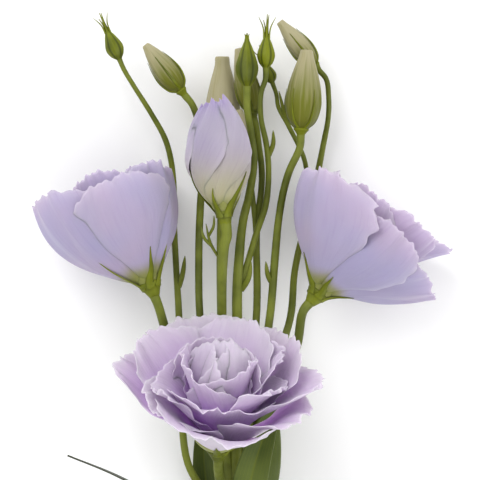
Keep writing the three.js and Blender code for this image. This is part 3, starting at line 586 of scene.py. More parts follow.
def soft_folds(u, along, phase):
    """Soft folds and creases down the blade, which fade towards the claw and the sides."""
    folds = np.sin(6.5 * u + 2.3 * phase + 1.5 * along) + 0.5 * np.sin(12 * u - phase)
    creases = 1 - 2 * np.abs(np.sin(2.4 * u + phase + 1.8 * along))
    return (folds + creases * (1 - u * u)) * (1 - u**6) * smooth(2 * along - 0.2)


def petal_surface(seat, p, frill=0.0, billow=0.0, fringe=0.0):
    """Middle surface of a petal, as a function of u and v.

    frill is the height of the fine ruffles, billow that of the soft folds, and fringe the depth of the rim's
    shallow teeth, as a share of the length."""
    marks, radii, heights = petal_profile(p)
    phase = p["phase"]

    def surface(u, v):
        outline = 1 - p["round"] * np.abs(u) ** 3 + p["slant"] * u
        along = v * (outline - fringe * v**6 * lip_teeth(u, phase))
        radius = np.interp(along, marks, radii)
        height = np.interp(along, marks, heights)
        lean = np.radians(bend(p["flare"], along))
        half = 0.5 * p["wide"] * petal_spread(along, p) * (1 - fringe * side_nicks(u, along, phase))
        cup = mix(p["cup"][0], p["cup"][1], along)
        side = half * np.sin(u * cup) / cup
        inward = half * (1 - np.cos(u * cup)) / cup
        inward = inward + p["ruffle"] * edge_waves(u, along, p["waves"], phase)
        inward = inward + p["roll"] * half * u * smooth(2.5 * along)
        inward = inward + frill * fine_ruffles(u, along, phase) + billow * soft_folds(u, along, phase)
        turn = p["at"] + p["twist"] * along
        up = (height + inward * np.sin(lean))[..., None] * seat.axis
        out = (radius - inward * np.cos(lean))[..., None] * seat.outward(turn)
        return seat.base + up + out + side[..., None] * seat.outward(turn + 90)

    return surface


# Materials
# A pattern's size is how many cells of noise lie in a metre, or in the piece's own map for veins and streaks.

PETAL_CLOUDS = 38.0
PETAL_VEINS = 42.0
PETAL_GRAIN = 900.0
FURLED_STREAKS = 30.0
GREEN_CLOUDS = 70.0
GREEN_WAX = 240.0
GREEN_LINES = 2600.0
LEAF_CLOUDS = 45.0
LEAF_WAX = 60.0
LEAF_GRAIN = 500.0
LEAF_VEINS = 1.6
LIGHT_SPREAD = (1.0, 0.85, 1.0)  # how far red, green and blue light spread in a petal or leaf
LIGHT_REACH = 0.0012


def add_node(tree, kind, inputs=(), **settings):
    """Adds a node to a tree. An input is given a socket to link or a plain value."""
    made = tree.nodes.new(kind)
    for key, value in settings.items():
        setattr(made, key, value)
    for key, value in dict(inputs).items():
        if isinstance(value, bpy.types.NodeSocket):
            tree.links.new(value, made.inputs[key])
        else:
            made.inputs[key].default_value = value
    return made


class Finish:
    """A procedural material, built up in coats of colour, and short ways to add its nodes."""

    def __init__(self, name, colour, roughness, subsurface=0.0, sheen=0.0, specular=0.35):
        self.material = bpy.data.materials.new(name)
        self.material.use_nodes = True
        self.tree = self.material.node_tree
        self.shader = self.tree.nodes["Principled BSDF"]
        self.colour = colour
        for socket, value in (
            ("Roughness", roughness), ("Subsurface Weight", subsurface), ("Subsurface Radius", LIGHT_SPREAD),
            ("Subsurface Scale", LIGHT_REACH), ("Sheen Weight", sheen), ("Sheen Roughness", 0.5),
            ("Specular IOR Level", specular),
        ):
            self.shader.inputs[socket].default_value = value

    def node(self, kind, inputs=(), output=0, **settings):
        """One output of a new node."""
        return add_node(self.tree, kind, inputs, **settings).outputs[output]

    def math(self, operation, a, b=0.0, clamp=False):
        return self.node("ShaderNodeMath", {0: a, 1: b}, operation=operation, use_clamp=clamp)

    def times(self, a, b):
        return self.math("MULTIPLY", a, b)

    def rest(self, a):
        """What is left of 1."""
        return self.math("SUBTRACT", 1.0, a)

    def ramp(self, value, low, high, start=0.0, end=1.0):
        """Eased change from start to end as value goes from low to high."""
        ends = {"Value": value, "From Min": low, "From Max": high, "To Min": start, "To Max": end}
        return self.node("ShaderNodeMapRange", ends, "Result", interpolation_type="SMOOTHSTEP")

    def share(self, name):
        """A share that the mesh carries at its points."""
        return self.node("ShaderNodeAttribute", (), "Fac", attribute_name=name)

    def uv(self):
        """Place across and along a piece, from its own map."""
        place = self.node("ShaderNodeUVMap", uv_map="UVMap")
        split = add_node(self.tree, "ShaderNodeSeparateXYZ", {0: place}).outputs
        return split["X"], split["Y"]

    def from_middle(self, u):
        """0 at the midrib and 1 at the sides."""
        return self.math("ABSOLUTE", self.math("SUBTRACT", self.times(u, 2.0), 1.0))

    def noise(self, scale, detail, across=None, along=0.0, third=0.0, stretch=(1, 1, 1)):
        """Noise in the piece's own space, or in its map where places across and along it are given."""
        if across is None:
            vector = self.node("ShaderNodeTexCoord", (), "Object")
        else:
            vector = self.node("ShaderNodeCombineXYZ", {"X": across, "Y": along, "Z": third})
        moved = self.node("ShaderNodeMapping", {"Vector": vector, "Scale": stretch})
        return self.node("ShaderNodeTexNoise", {"Vector": moved, "Scale": scale, "Detail": detail}, "Fac")

    def coat(self, share, colour, kind="MIX"):
        """Lays a colour over what the material has so far."""
        a, b = (
            value if isinstance(value, bpy.types.NodeSocket) else (*value[:3], 1.0)
            for value in (self.colour, colour)
        )
        self.colour = self.node("ShaderNodeMix", {0: share, 6: a, 7: b}, 2, data_type="RGBA", blend_type=kind)

    def finished(self, height=None, strength=0.0, depth=0.0):
        """The material with all its coats, and the relief of a height, depth metres deep."""
        self.tree.links.new(self.colour, self.shader.inputs["Base Color"])
        if height is not None:
            bump = self.node("ShaderNodeBump", {"Height": height, "Strength": strength, "Distance": depth})
            self.tree.links.new(bump, self.shader.inputs["Normal"])
        return self.material


def petal_finish(name, look):
    """Soft petal: clouded blade, coloured rim and lip, painted violet shade in the throat and between petals,
    greenish claw and tube, fine veins.
    """
    f = Finish(name, look["blade"], roughness=0.62, subsurface=0.7, sheen=0.12, specular=0.2)
    u, v = f.uv()
    inner = f.share("inner")
    tone = f.share("tone")
    depth = f.share("depth")
    f.coat(f.ramp(f.noise(PETAL_CLOUDS, 1.0), 0.3, 0.7), look["blush"])
    f.coat(f.times(tone, 0.35), look["rim"])
    f.coat(f.times(f.math("POWER", f.from_middle(u), look["rim_power"], clamp=True), 0.5), look["rim"])
    f.coat(f.times(f.math("POWER", v, 10.0, clamp=True), 0.5), look["lip"])
    # The inside of each petal's throat and the lower part of petals deep within others get a painted violet
    # shade, which stands in for the coloured shade in the creases between petals.
    depth_shade = f.times(f.ramp(v, 0.1, look["shade_reach"], 0.85, 0.0), inner)
    hidden_shade = f.times(f.ramp(v, 0.25, 0.9, 1.0, 0.1), depth)
    f.coat(f.math("MAXIMUM", depth_shade, hidden_shade), look["depth_shade"])
    outside = f.times(f.rest(inner), f.rest(depth))
    f.coat(f.times(f.ramp(v, 0.05, look["claw_reach"], 1.0, 0.0), outside), look["claw"])
    f.coat(f.times(f.ramp(v, 0.02, 0.16, 0.8, 0.0), outside), look["foot"])
    veins = f.noise(PETAL_VEINS, 2.0, u, f.times(v, 0.06), f.times(tone, 7.0))
    f.coat(f.ramp(veins, 0.5, 0.72, 0.0, 0.09), look["vein"], "MULTIPLY")
    relief = f.math("ADD", veins, f.times(f.noise(PETAL_GRAIN, 1.0), 0.12))
    return f.finished(relief, strength=0.35, depth=0.0005)


def green_finish(name, look):
    """Satin green skin: lighter keels, painted shade in the seams, fine lengthwise lines and a waxy bloom."""
    f = Finish(name, look["deep"], roughness=0.5, subsurface=0.08, specular=0.22)
    f.coat(f.ramp(f.noise(GREEN_CLOUDS, 3.0), 0.35, 0.65), look["fresh"])
    f.coat(f.times(f.share("tone"), 0.8), look["light"])
    f.coat(f.ramp(f.noise(GREEN_WAX, 2.0, stretch=(1, 0.3, 1)), 0.52, 0.75, 0.0, 0.35), look["waxy"])
    lines = f.noise(GREEN_LINES, 1.0, stretch=(1, 0.03, 1))
    f.coat(f.ramp(lines, 0.5, 0.8, 0.0, 0.25), look["deep"])
    # Painted shade in the sunk seams of the green buds.
    f.coat(f.times(f.share("depth"), 0.8), look["seam"])
    return f.finished(lines, strength=0.25, depth=0.0002)


def leaf_finish(name, look):
    """Leaf skin: light midrib, side veins that run nearly along the blade, a waxy bloom, and painted shade on
    a leaf that lies in shade.
    """
    f = Finish(name, look["deep"], roughness=0.55, subsurface=0.06, sheen=0.08, specular=0.3)
    u, v = f.uv()
    from_middle = f.from_middle(u)
    f.coat(f.ramp(f.noise(LEAF_CLOUDS, 2.0), 0.35, 0.65), look["fresh"])
    f.coat(f.ramp(f.noise(LEAF_WAX, 3.0, stretch=(1, 0.35, 1)), 0.5, 0.72, 0.0, 0.6), look["waxy"])
    slanted = f.node("ShaderNodeCombineXYZ", {"X": from_middle, "Y": f.times(v, 0.35)})
    bands = {"Vector": slanted, "Scale": LEAF_VEINS, "Distortion": 0.6, "Detail": 1.0}
    sides = f.node("ShaderNodeTexWave", bands, "Fac", wave_type="BANDS", bands_direction="X")
    midrib = f.ramp(from_middle, 0.02, 0.07, 0.45, 0.0)
    veins = f.math("MAXIMUM", midrib, f.ramp(sides, 0.86, 0.98, 0.0, 0.16))
    f.coat(veins, look["light"])
    # Painted shade on a leaf that lies in shade.
    f.coat(f.share("depth"), look["dark"])
    relief = f.math("ADD", veins, f.noise(LEAF_GRAIN, 2.0))
    return f.finished(relief, strength=0.3, depth=0.0003)


def furled_finish(name, look):
    """Furled petals: green foot that turns to cream up the bud, with faint long streaks."""
    f = Finish(name, look["foot"], roughness=0.55, subsurface=0.2, sheen=0.1, specular=0.25)
    u, v = f.uv()
    height = f.math("SUBTRACT", v, f.share("tone"))
    streaks = f.noise(FURLED_STREAKS, 2.0, u, f.times(v, 0.08))
    uneven = f.math("ADD", height, f.times(f.math("SUBTRACT", streaks, 0.5), 0.5))
    f.coat(f.ramp(uneven, 0.02, 0.5), look["cream"])
    f.coat(f.ramp(streaks, 0.5, 0.75, 0.0, 0.45), look["shade"])
    return f.finished(streaks, strength=0.3, depth=0.0005)


# Settings


def colour_setting(name, description, colour):
    return bpy.props.FloatVectorProperty(
        name=name, description=description, default=colour, size=3, min=0.0, max=1.0, subtype="COLOR"
    )


def shade(name, description, *screen):
    """Setting of a colour that is given as on a screen."""
    return colour_setting(name, description, srgb(*screen))


def length_setting(name, description, millimetres):
    return bpy.props.FloatProperty(
        name=name, description=description, default=millimetres * MM, min=0.0, unit="LENGTH", precision=5
    )


def power_setting(name, description, watts):
    return bpy.props.FloatProperty(name=name, description=description, default=watts, min=0.0, unit="POWER")


class PetalSettings(bpy.types.PropertyGroup):
    """Sizes and colours of the open flowers."""

    thickness: length_setting("Blade thickness", "Thickness in the middle of a petal", 0.5)
    rim_thickness: length_setting("Rim thickness", "Thickness at the rim of a petal", 0.16)
    frill: length_setting("Frill", "Height of the fine ruffles at the rim", 1)
    fringe: bpy.props.FloatProperty(
        name="Fringe", description="Depth of the rim's shallow teeth, as a share of the length", default=0.045
    )
    cells_across: bpy.props.IntProperty(name="Cells across", description="Faces across a petal", default=56)
    cells_along: bpy.props.IntProperty(name="Cells along", description="Faces along a petal", default=38)
    pale_blade: shade("Pale blade", "Blade of the front flower", 194, 184, 198)
    pale_blush: shade("Pale blush", "Second tone of the front flower", 190, 176, 198)
    pale_rim: shade("Pale rim", "Rim of the front flower", 199, 193, 204)
    blue_blade: shade("Lilac blade", "Blade of the side flowers", 152, 147, 180)
    blue_blush: shade("Lilac blush", "Second tone of the side flowers", 163, 148, 174)
    blue_rim: shade("Lilac rim", "Rim of the side flowers", 194, 184, 200)
    cream_blade: shade("Opening blade", "Blade of the opening flower", 154, 147, 168)
    cream_blush: shade("Opening blush", "Second tone of the opening flower", 145, 135, 168)
    cream_rim: shade("Opening rim", "Rim of the opening flower", 196, 188, 190)
    cream_lip: shade("Opening lip", "Tips of the opening flower's petals", 146, 126, 192)
    cream_foot: shade("Opening foot", "Lower half of the opening flower", 172, 168, 132)
    # Painted violet shade: laid in the throats and on the lower parts of petals deep within others, where the
    # creases between petals fall in shade.
    depth_shade: shade("Throat", "Depths of the open flowers", 226, 184, 250)
    claw: shade("Claw", "Foot of a petal, seen from outside", 146, 142, 108)
    foot: shade("Tube", "Tube of an open flower, seen from outside", 126, 132, 52)
    vein: shade("Vein", "Shade that fine veins add", 200, 180, 225)


class GreenSettings(bpy.types.PropertyGroup):
    """Sizes and colours of stem, calyxes, buds and leaves."""

    stalk_sides: bpy.props.IntProperty(name="Stalk sides", description="Faces round a stalk", default=16)
    unevenness: length_setting("Unevenness", "Height of the stalk skin's soft lumps", 0.12)
    leaf_thickness: length_setting("Leaf thickness", "Thickness in the middle of a leaf", 0.7)
    stem_deep: shade("Stem, deep", "Darker green of the stalks", 82, 90, 26)
    stem_fresh: shade("Stem, fresh", "Lighter green of the stalks", 114, 122, 42)
    sepal_deep: shade("Sepal, deep", "Darker green of sepals and green buds", 74, 82, 8)
    sepal_fresh: shade("Sepal, fresh", "Lighter green of sepals and green buds", 114, 122, 18)
    # Painted shade in the sunk seams of a green bud.
    seam: shade("Seam", "Seams between the ribs of a green bud", 46, 54, 8)
    waxy: shade("Waxy bloom", "Greyish bloom on the skin", 118, 126, 62)
    leaf_deep: shade("Leaf, deep", "Darker green of the leaves", 66, 80, 22)
    leaf_fresh: shade("Leaf, fresh", "Lighter green of the leaves", 92, 106, 38)
    # Painted shade of the narrow leaf that lies edge-on in shade.
    leaf_shade: shade("Leaf, dark", "Shade of the narrow leaf at the left", 20, 22, 12)
    leaf_waxy: shade("Leaf bloom", "Greyish bloom on the leaves", 112, 124, 84)
    cream: shade("Bud cream", "Furled petals", 162, 155, 122)
    cream_shade: shade("Bud shade", "Streaks of the furled petals", 136, 130, 70)
    bud_foot: shade("Bud foot", "Green foot of the furled petals", 100, 104, 16)


class StageSettings(bpy.types.PropertyGroup):
    """Camera, floor and lights."""

    distance: length_setting("Camera distance", "Height of the camera above the middle of the flowers", 1200)
    view_width: length_setting("View width", "Width of what the camera shows there", 177.6)
    view_depth: length_setting("View plane", "Height of the flowers' middle above the floor", 35)
    floor_size: length_setting("Floor size", "Side of the floor", 6000)
    floor_colour: colour_setting("Floor", "Colour of the floor", (0.95, 0.95, 0.95))
    key_power: power_setting("Key light", "Power of the main light", 8)
    fill_power: power_setting("Fill light", "Power of the side light", 5)
    sky: bpy.props.FloatProperty(name="Sky", description="Strength of the light from all round", default=0.97)


# Operators
# Cells are the faces across and along a shell, or the sides and rings of a turned body. Rows are (height,
# radius) on a seat's axis.

SEPALS = 5
TUBE_CELLS = (40, 24)
CORE_CELLS = (60, 48)
PISTIL_CELLS = (20, 30)
CUP_CELLS = (40, 24)
FURL_CELLS = (72, 60)
BUD_CUP_CELLS = (24, 14)
GREEN_BUD_CELLS = (60, 36)
LEAF_CELLS = (28, 60)
FURLED_CORE = [(1, 2.6), (8, 7), (17, 9.2), (26, 8), (35, 5.6), (39.6, 3), (40, 0.4)]
PISTIL = [(1, 1.6), (8, 2.2), (13, 0.9), (20, 0.7), (22, 1.9), (23.4, 1.5), (23.8, 0.3)]
FURL_PETALS = 3
FURL_CLIMB = 0.55  # turns that the petals of a furled bud wind round it, times their number
FURL_LAP = 0.07  # how far each stands over the next, as a share of the radius
HOLLOW_TIP = [(0.98, 0.55), (0.93, 0.1)]  # share of the height, and of the radius before
KEEL_RISE = 0.07  # rise of the keels and depth of the seams of a green bud, as shares of the radius
SEAM_DEPTH = 0.1
TONE_SPREAD = 0.25  # how much the petals of a flower differ in paleness
SEPAL_LIFT = 0.6  # a sepal's middle lies this far off the petal under it
SEPAL_BLADE = {"half_width": pointed(0.16, 1.9, 1.3), "thick": 0.6, "steps": 28, "tone": 0.5}
BUD_SEPAL_BLADE = {"half_width": pointed(0.14, 1.0, 1.2), "thick": 0.5, "steps": 26, "tone": 0.2}
TOOTH_BLADE = {"half_width": pointed(0.16, 0.45), "thick": 0.5, "steps": 12}
BRACT_BLADE = {"thick": 0.5, "steps": 14, "tone": 0.2}
CURVE_STEPS = 7  # steps of a stalk's curve for each of its given points
HEEL_REACH = 4  # a stalk runs straight into its flower from this far under it
STALK_INPUTS = {
    "Stalks": "Geometry", "Sides": "Int", "Unevenness": "Float", "Lump size": "Float", "Seed": "Float",
    "Finish": "Material",
}
LUMP_SIZE = 220.0  # soft lumps of the stalk's skin to the metre
LUMP_SEED = 3.0
FLOOR_LEVEL = -0.2 * MM  # just under the lowest petals, so that they don't flicker
FLOOR_GRAIN = 60.0
FLOOR_GREY = (0.8, 0.8, 0.8)
LIT_PLACE = np.array([0.0, 0.03, 0.03])  # what the lamps face, in metres
LAMPS = [("key", 0.9, (-0.55, 0.75, 1.1)), ("fill", 1.1, (0.9, -0.3, 0.9))]  # name, side and place in metres
VIEW_END = 20  # metres that the camera sees

# How far up the blade the painted violet shade of the throat and the colour of the claw reach, and how narrow
# the coloured rim is.
TINTS = {
    "pale": {"shade_reach": 1.05, "claw_reach": 0.3, "rim_power": 9.0},
    "blue": {"shade_reach": 0.5, "claw_reach": 0.22, "rim_power": 9.0},
    "cream": {"shade_reach": 0.5, "claw_reach": 0.7, "rim_power": 3.0},
}


def petal_look(settings, tint):
    """Colours and reaches of a petal's finish."""
    look = {**TINTS[tint], "depth_shade": settings.depth_shade, "vein": settings.vein, "foot": settings.foot}
    for share in ("blade", "blush", "rim"):
        look[share] = getattr(settings, tint + "_" + share)
    cream = tint == "cream"
    look["lip"] = settings.cream_lip if cream else look["rim"]
    look["claw"] = settings.cream_foot if cream else settings.claw
    return look


def petal_thickness(settings):
    """Thickness over a petal, in millimetres: full in the middle and thin at the rim."""
    full = settings.thickness / MM
    rim = settings.rim_thickness / MM

    def thickness(u, v):
        return rim + (full - rim) * (1 - np.abs(u) ** 6) * (1 - v**8)

    return thickness


def flower_tube(seat, bloom):
    """Tube that joins the petals at their foot, hollow from above. Its map keeps it green all over."""
    (low, narrow), (high, wide) = bloom["tube"]
    outside = [(low, narrow - 0.1), (mix(low, high, 0.4), mix(narrow, wide, 0.55)), (high, wide)]
    inside = [(high + 0.3, wide - 0.8), (low + 1, narrow - 1.5), (low + 0.8, 0.3)]
    tube = turned(seat, outside + inside, TUBE_CELLS)
    tube["uv"][:, 1] = 0
    return tube


def furled_core(seat):
    """Petals in the middle of the opening flower that are still wound up."""
    def fold(degrees, along):
        return 1 + 0.1 * np.abs(np.sin(np.radians(1.5 * degrees - 220 * along)))

    core = turned(seat, FURLED_CORE, CORE_CELLS, fold, 0.5)
    # The wound core counts as deep within the flower and gets the full painted violet shade.
    core["depth"][:] = 1
    return core


def pistil(seat):
    """Pistil in the middle of an open flower. Its map keeps it green all over."""
    middle = turned(seat, PISTIL, PISTIL_CELLS)
    middle["uv"][:, 1] = 0
    return middle


class LISIANTHUS_OT_blooms(bpy.types.Operator):
    """Build the petals of the three open flowers and the opening one"""

    bl_idname = "lisianthus.blooms"
    bl_label = "Open flowers"

    def execute(self, context):
        settings = context.scene.lisianthus_petals
        for bloom in BLOOMS:
            seat = Seat(bloom)
            parts = [self.petal(settings, seat, bloom, k) for k in range(len(bloom["petals"]))]
            parts.append(flower_tube(seat, bloom))
            parts.append(furled_core(seat) if bloom["furled"] else pistil(seat))
            finish = petal_finish(bloom["tint"] + " petal", petal_look(settings, bloom["tint"]))
            name = bloom["name"] + "_corolla"
            place(name, mesh_of(name, parts), finish, "petal", bloom["name"] + "_petals")
        return {"FINISHED"}

    @staticmethod
    def petal(settings, seat, bloom, k):
        p = bloom["petals"][k]
        frill = bloom["frill"] * settings.frill / MM
        surface = petal_surface(seat, p, frill, bloom["billow"], settings.fringe)
        cells = (settings.cells_across, settings.cells_along)
        tone = p["fair"] + TONE_SPREAD * math.sin(2.4 * k + 1)
        return shell(surface, cells, petal_thickness(settings), p["floor"], tone, p["depth"])


def green_look(settings, deep, fresh):
    """Colours of a green skin."""
    light = settings.sepal_fresh
    return {"deep": deep, "fresh": fresh, "light": light, "waxy": settings.waxy, "seam": settings.seam}


def sepal_finish(settings, name):
    return green_finish(name, green_look(settings, settings.sepal_deep, settings.sepal_fresh))


class LISIANTHUS_OT_calyxes(bpy.types.Operator):
    """Build the green cup and five sepals under each open flower"""

    bl_idname = "lisianthus.calyxes"
    bl_label = "Calyxes"

    def execute(self, context):
        finish = sepal_finish(context.scene.lisianthus_greens, "sepal")
        for bloom in BLOOMS:
            seat = Seat(bloom)
            parts = [self.cup(seat, bloom["cup"])]
            parts.extend(self.sepal(seat, bloom, *sepal) for sepal in bloom["sepals"])
            name = bloom["name"] + "_cup"
            place(name, mesh_of(name, parts), finish, "sepal", bloom["name"] + "_calyx")
        return {"FINISHED"}

    @staticmethod
    def cup(seat, rows):
        """Cup with a keel under each sepal, closed from above."""
        def keels(degrees, along):
            return 1 + 0.03 * np.cos(np.radians(SEPALS * degrees))

        bottom, middle, top = rows
        outside = [(bottom[0] - 0.6, bottom[1]), middle, top]
        return turned(seat, outside + [(0.2, top[1] - 0.3), (0.3, 1.2)], CUP_CELLS, keels)

    @staticmethod
    def sepal(seat, bloom, index, reach, side):
        """Sepal that leaves the cup and runs up the outside of a petal."""
        p = bloom["petals"][index]
        surface = petal_surface(seat, p)
        out = seat.outward(p["at"])
        points = [seat.at(p["at"], radius + 0.1, height) for height, radius in bloom["cup"][1:]]
        middle = np.array(float(side))
        for v in reach * np.arange(2, 6) / 5:
            here = surface(middle, np.array(v))
            along = surface(middle, np.array(v + 0.02)) - here
            points.append(here + SEPAL_LIFT * unit(np.cross(np.cross(along, out), along)))
        return blade(points, out, **SEPAL_BLADE)


class LISIANTHUS_OT_furled_buds(bpy.types.Operator):
    """Build the buds whose wound petals already show"""

    bl_idname = "lisianthus.furled_buds"
    bl_label = "Furled buds"

    def execute(self, context):
        settings = context.scene.lisianthus_greens
        look = {"foot": settings.bud_foot, "cream": settings.cream, "shade": settings.cream_shade}
        petal = furled_finish("furled petal", look)
        sepal = sepal_finish(settings, "bud sepal")
        for bud in FURLED_BUDS:
            seat = Seat(bud)
            name = bud["name"] + "_furl"
            place(name, mesh_of(name, [self.furl(seat, bud)]), petal, "bud_petal", bud["name"] + "_petals")
            name = bud["name"] + "_cup"
            place(name, mesh_of(name, self.calyx(seat, bud)), sepal, "sepal", bud["name"] + "_calyx")
        return {"FINISHED"}

    @staticmethod
    def furl(seat, bud):
        """Wound petals: each edge laps over the next and runs round the bud as it climbs, to a hollow tip."""
        def laps(degrees, along):
            lap = FURL_PETALS * degrees / 360 - FURL_CLIMB * along
            return 1 + FURL_LAP * (lap - np.floor(lap) - 0.5) * smooth(3 * along)

        half = bud["wide"] / 2
        rows = []
        for height, radius in FURLED_PROFILE:
            blunt = max(radius, bud["tip"]) if height > 0.5 else radius
            rows.append((height * bud["len"], blunt * half))
        for height, share in HOLLOW_TIP:
            rows.append((height * bud["len"], share * rows[-1][1]))
        return turned(seat, rows, FURL_CELLS, laps, bud["cream"])

    @staticmethod
    def calyx(seat, bud):
        """Small cup and the sepals that lie along the bud."""
        half = bud["wide"] / 2
        top = 0.36 * half + 0.5
        rows = [(-FURLED_HEEL - 0.5, 0.95), (-1.2, 0.75 * top), (-0.2, top), (0.3, 0.8 * top), (0.35, 0.2)]
        parts = [turned(seat, rows, BUD_CUP_CELLS)]
        for k in range(SEPALS):
            degrees = 90 + bud["turn"] + 360 / SEPALS * k
            points = [seat.at(degrees, 0.9, -1.6)]
            for height, radius in FURLED_PROFILE:
                if height <= bud["sepal"]:
                    points.append(seat.at(degrees, radius * half * 1.03 + 0.3, height * bud["len"]))
            parts.append(blade(points, seat.outward(degrees), **BUD_SEPAL_BLADE))
        return parts


class LISIANTHUS_OT_green_buds(bpy.types.Operator):
    """Build the small buds that are still closed in their calyx"""

    bl_idname = "lisianthus.green_buds"
    bl_label = "Green buds"

    def execute(self, context):
        finish = sepal_finish(context.scene.lisianthus_greens, "bud skin")
        for bud in GREEN_BUDS:
            seat = Seat(bud)
            name = bud["name"] + "_skin"
            parts = [self.skin(seat, bud), *(self.tooth(seat, bud, k) for k in range(SEPALS))]
            place(name, mesh_of(name, parts), finish, "sepal", bud["name"])
        return {"FINISHED"}

    @staticmethod
    def skin(seat, bud):
        """Closed calyx with a keel along each sepal and a seam between them."""
        def keel(degrees):
            return np.maximum(np.cos(np.radians(SEPALS * (degrees - 90))), 0)

        def seam(degrees):
            return np.maximum(-np.cos(np.radians(SEPALS * (degrees - 90))), 0)

        def ribs(degrees, along):
            return 1 + smooth(4 * along) * (KEEL_RISE * keel(degrees) ** 6 - SEAM_DEPTH * seam(degrees) ** 6)

        rows = [(-0.5, 0.9)] + [(h * bud["len"], r * bud["wide"] / 2) for h, r in GREEN_PROFILE]
        made = turned(seat, rows, GREEN_BUD_CELLS, ribs)
        around, along = made["uv"].T
        # The sunk seams take a share of painted shade.
        made["depth"][:] = seam(360 * around) ** 3 * smooth(4 * along)
        made["tone"][:] = 0.4 * keel(360 * around) ** 8
        return made

    @staticmethod
    def tooth(seat, bud, k):
        """Free point of a sepal. They differ in how far they spread and reach."""
        degrees = 90 + 360 / SEPALS * k
        spread = bud["teeth"] * (0.16 + 0.15 * (2 * k % 3))
        reach = bud["teeth"] * (1 - 0.14 * (k % 3))
        root = seat.at(degrees, 0.17 * bud["wide"], 0.8 * bud["len"])
        middle = seat.at(degrees, 0.35 * spread + 0.3, bud["len"] + 0.35 * reach)
        tip = seat.at(degrees, spread, bud["len"] + reach)
        return blade([root, middle, tip], seat.outward(degrees), **TOOTH_BLADE)


def stalk_tree():
    """Node group that gives curves a round skin with soft lumps."""
    tree = bpy.data.node_groups.new("Stalk skin", "GeometryNodeTree")
    for name, kind in STALK_INPUTS.items():
        tree.interface.new_socket(name, in_out="INPUT", socket_type="NodeSocket" + kind)
    tree.interface.new_socket("Skin", in_out="OUTPUT", socket_type="NodeSocketGeometry")

    def out(kind, inputs=(), output=0, **settings):
        return add_node(tree, kind, inputs, **settings).outputs[output]

    given = tree.nodes.new("NodeGroupInput").outputs
    circle = out("GeometryNodeCurvePrimitiveCircle", {"Resolution": given["Sides"], "Radius": 1.0}, "Curve")
    radius = out("GeometryNodeInputRadius")
    outline = {"Curve": given["Stalks"], "Profile Curve": circle, "Scale": radius, "Fill Caps": True}
    skin = out("GeometryNodeCurveToMesh", outline, "Mesh")
    lumps = {"Scale": given["Lump size"], "W": given["Seed"]}
    noise = out("ShaderNodeTexNoise", lumps, "Fac", noise_dimensions="4D")
    centred = out("ShaderNodeMath", {0: noise, 1: 0.5}, operation="SUBTRACT")
    height = out("ShaderNodeMath", {0: centred, 1: given["Unevenness"]}, operation="MULTIPLY")
    normal = out("GeometryNodeInputNormal", (), "Normal")
    push = out("ShaderNodeVectorMath", {0: normal, "Scale": height}, operation="SCALE")
    moved = out("GeometryNodeSetPosition", {"Geometry": skin, "Offset": push})
    real = out("GeometryNodeRealizeInstances", {0: moved})
    dressed = out("GeometryNodeSetMaterial", {"Geometry": real, "Material": given["Finish"]})
    add_node(tree, "NodeGroupOutput", {"Skin": dressed})
    return tree


def set_inputs(modifier, values):
    """Sets a modifier's inputs by their names, through the identifier of each socket."""
    for item in modifier.node_group.interface.items_tree:
        if item.in_out == "INPUT" and item.name in values:
            modifier[item.identifier] = values[item.name]


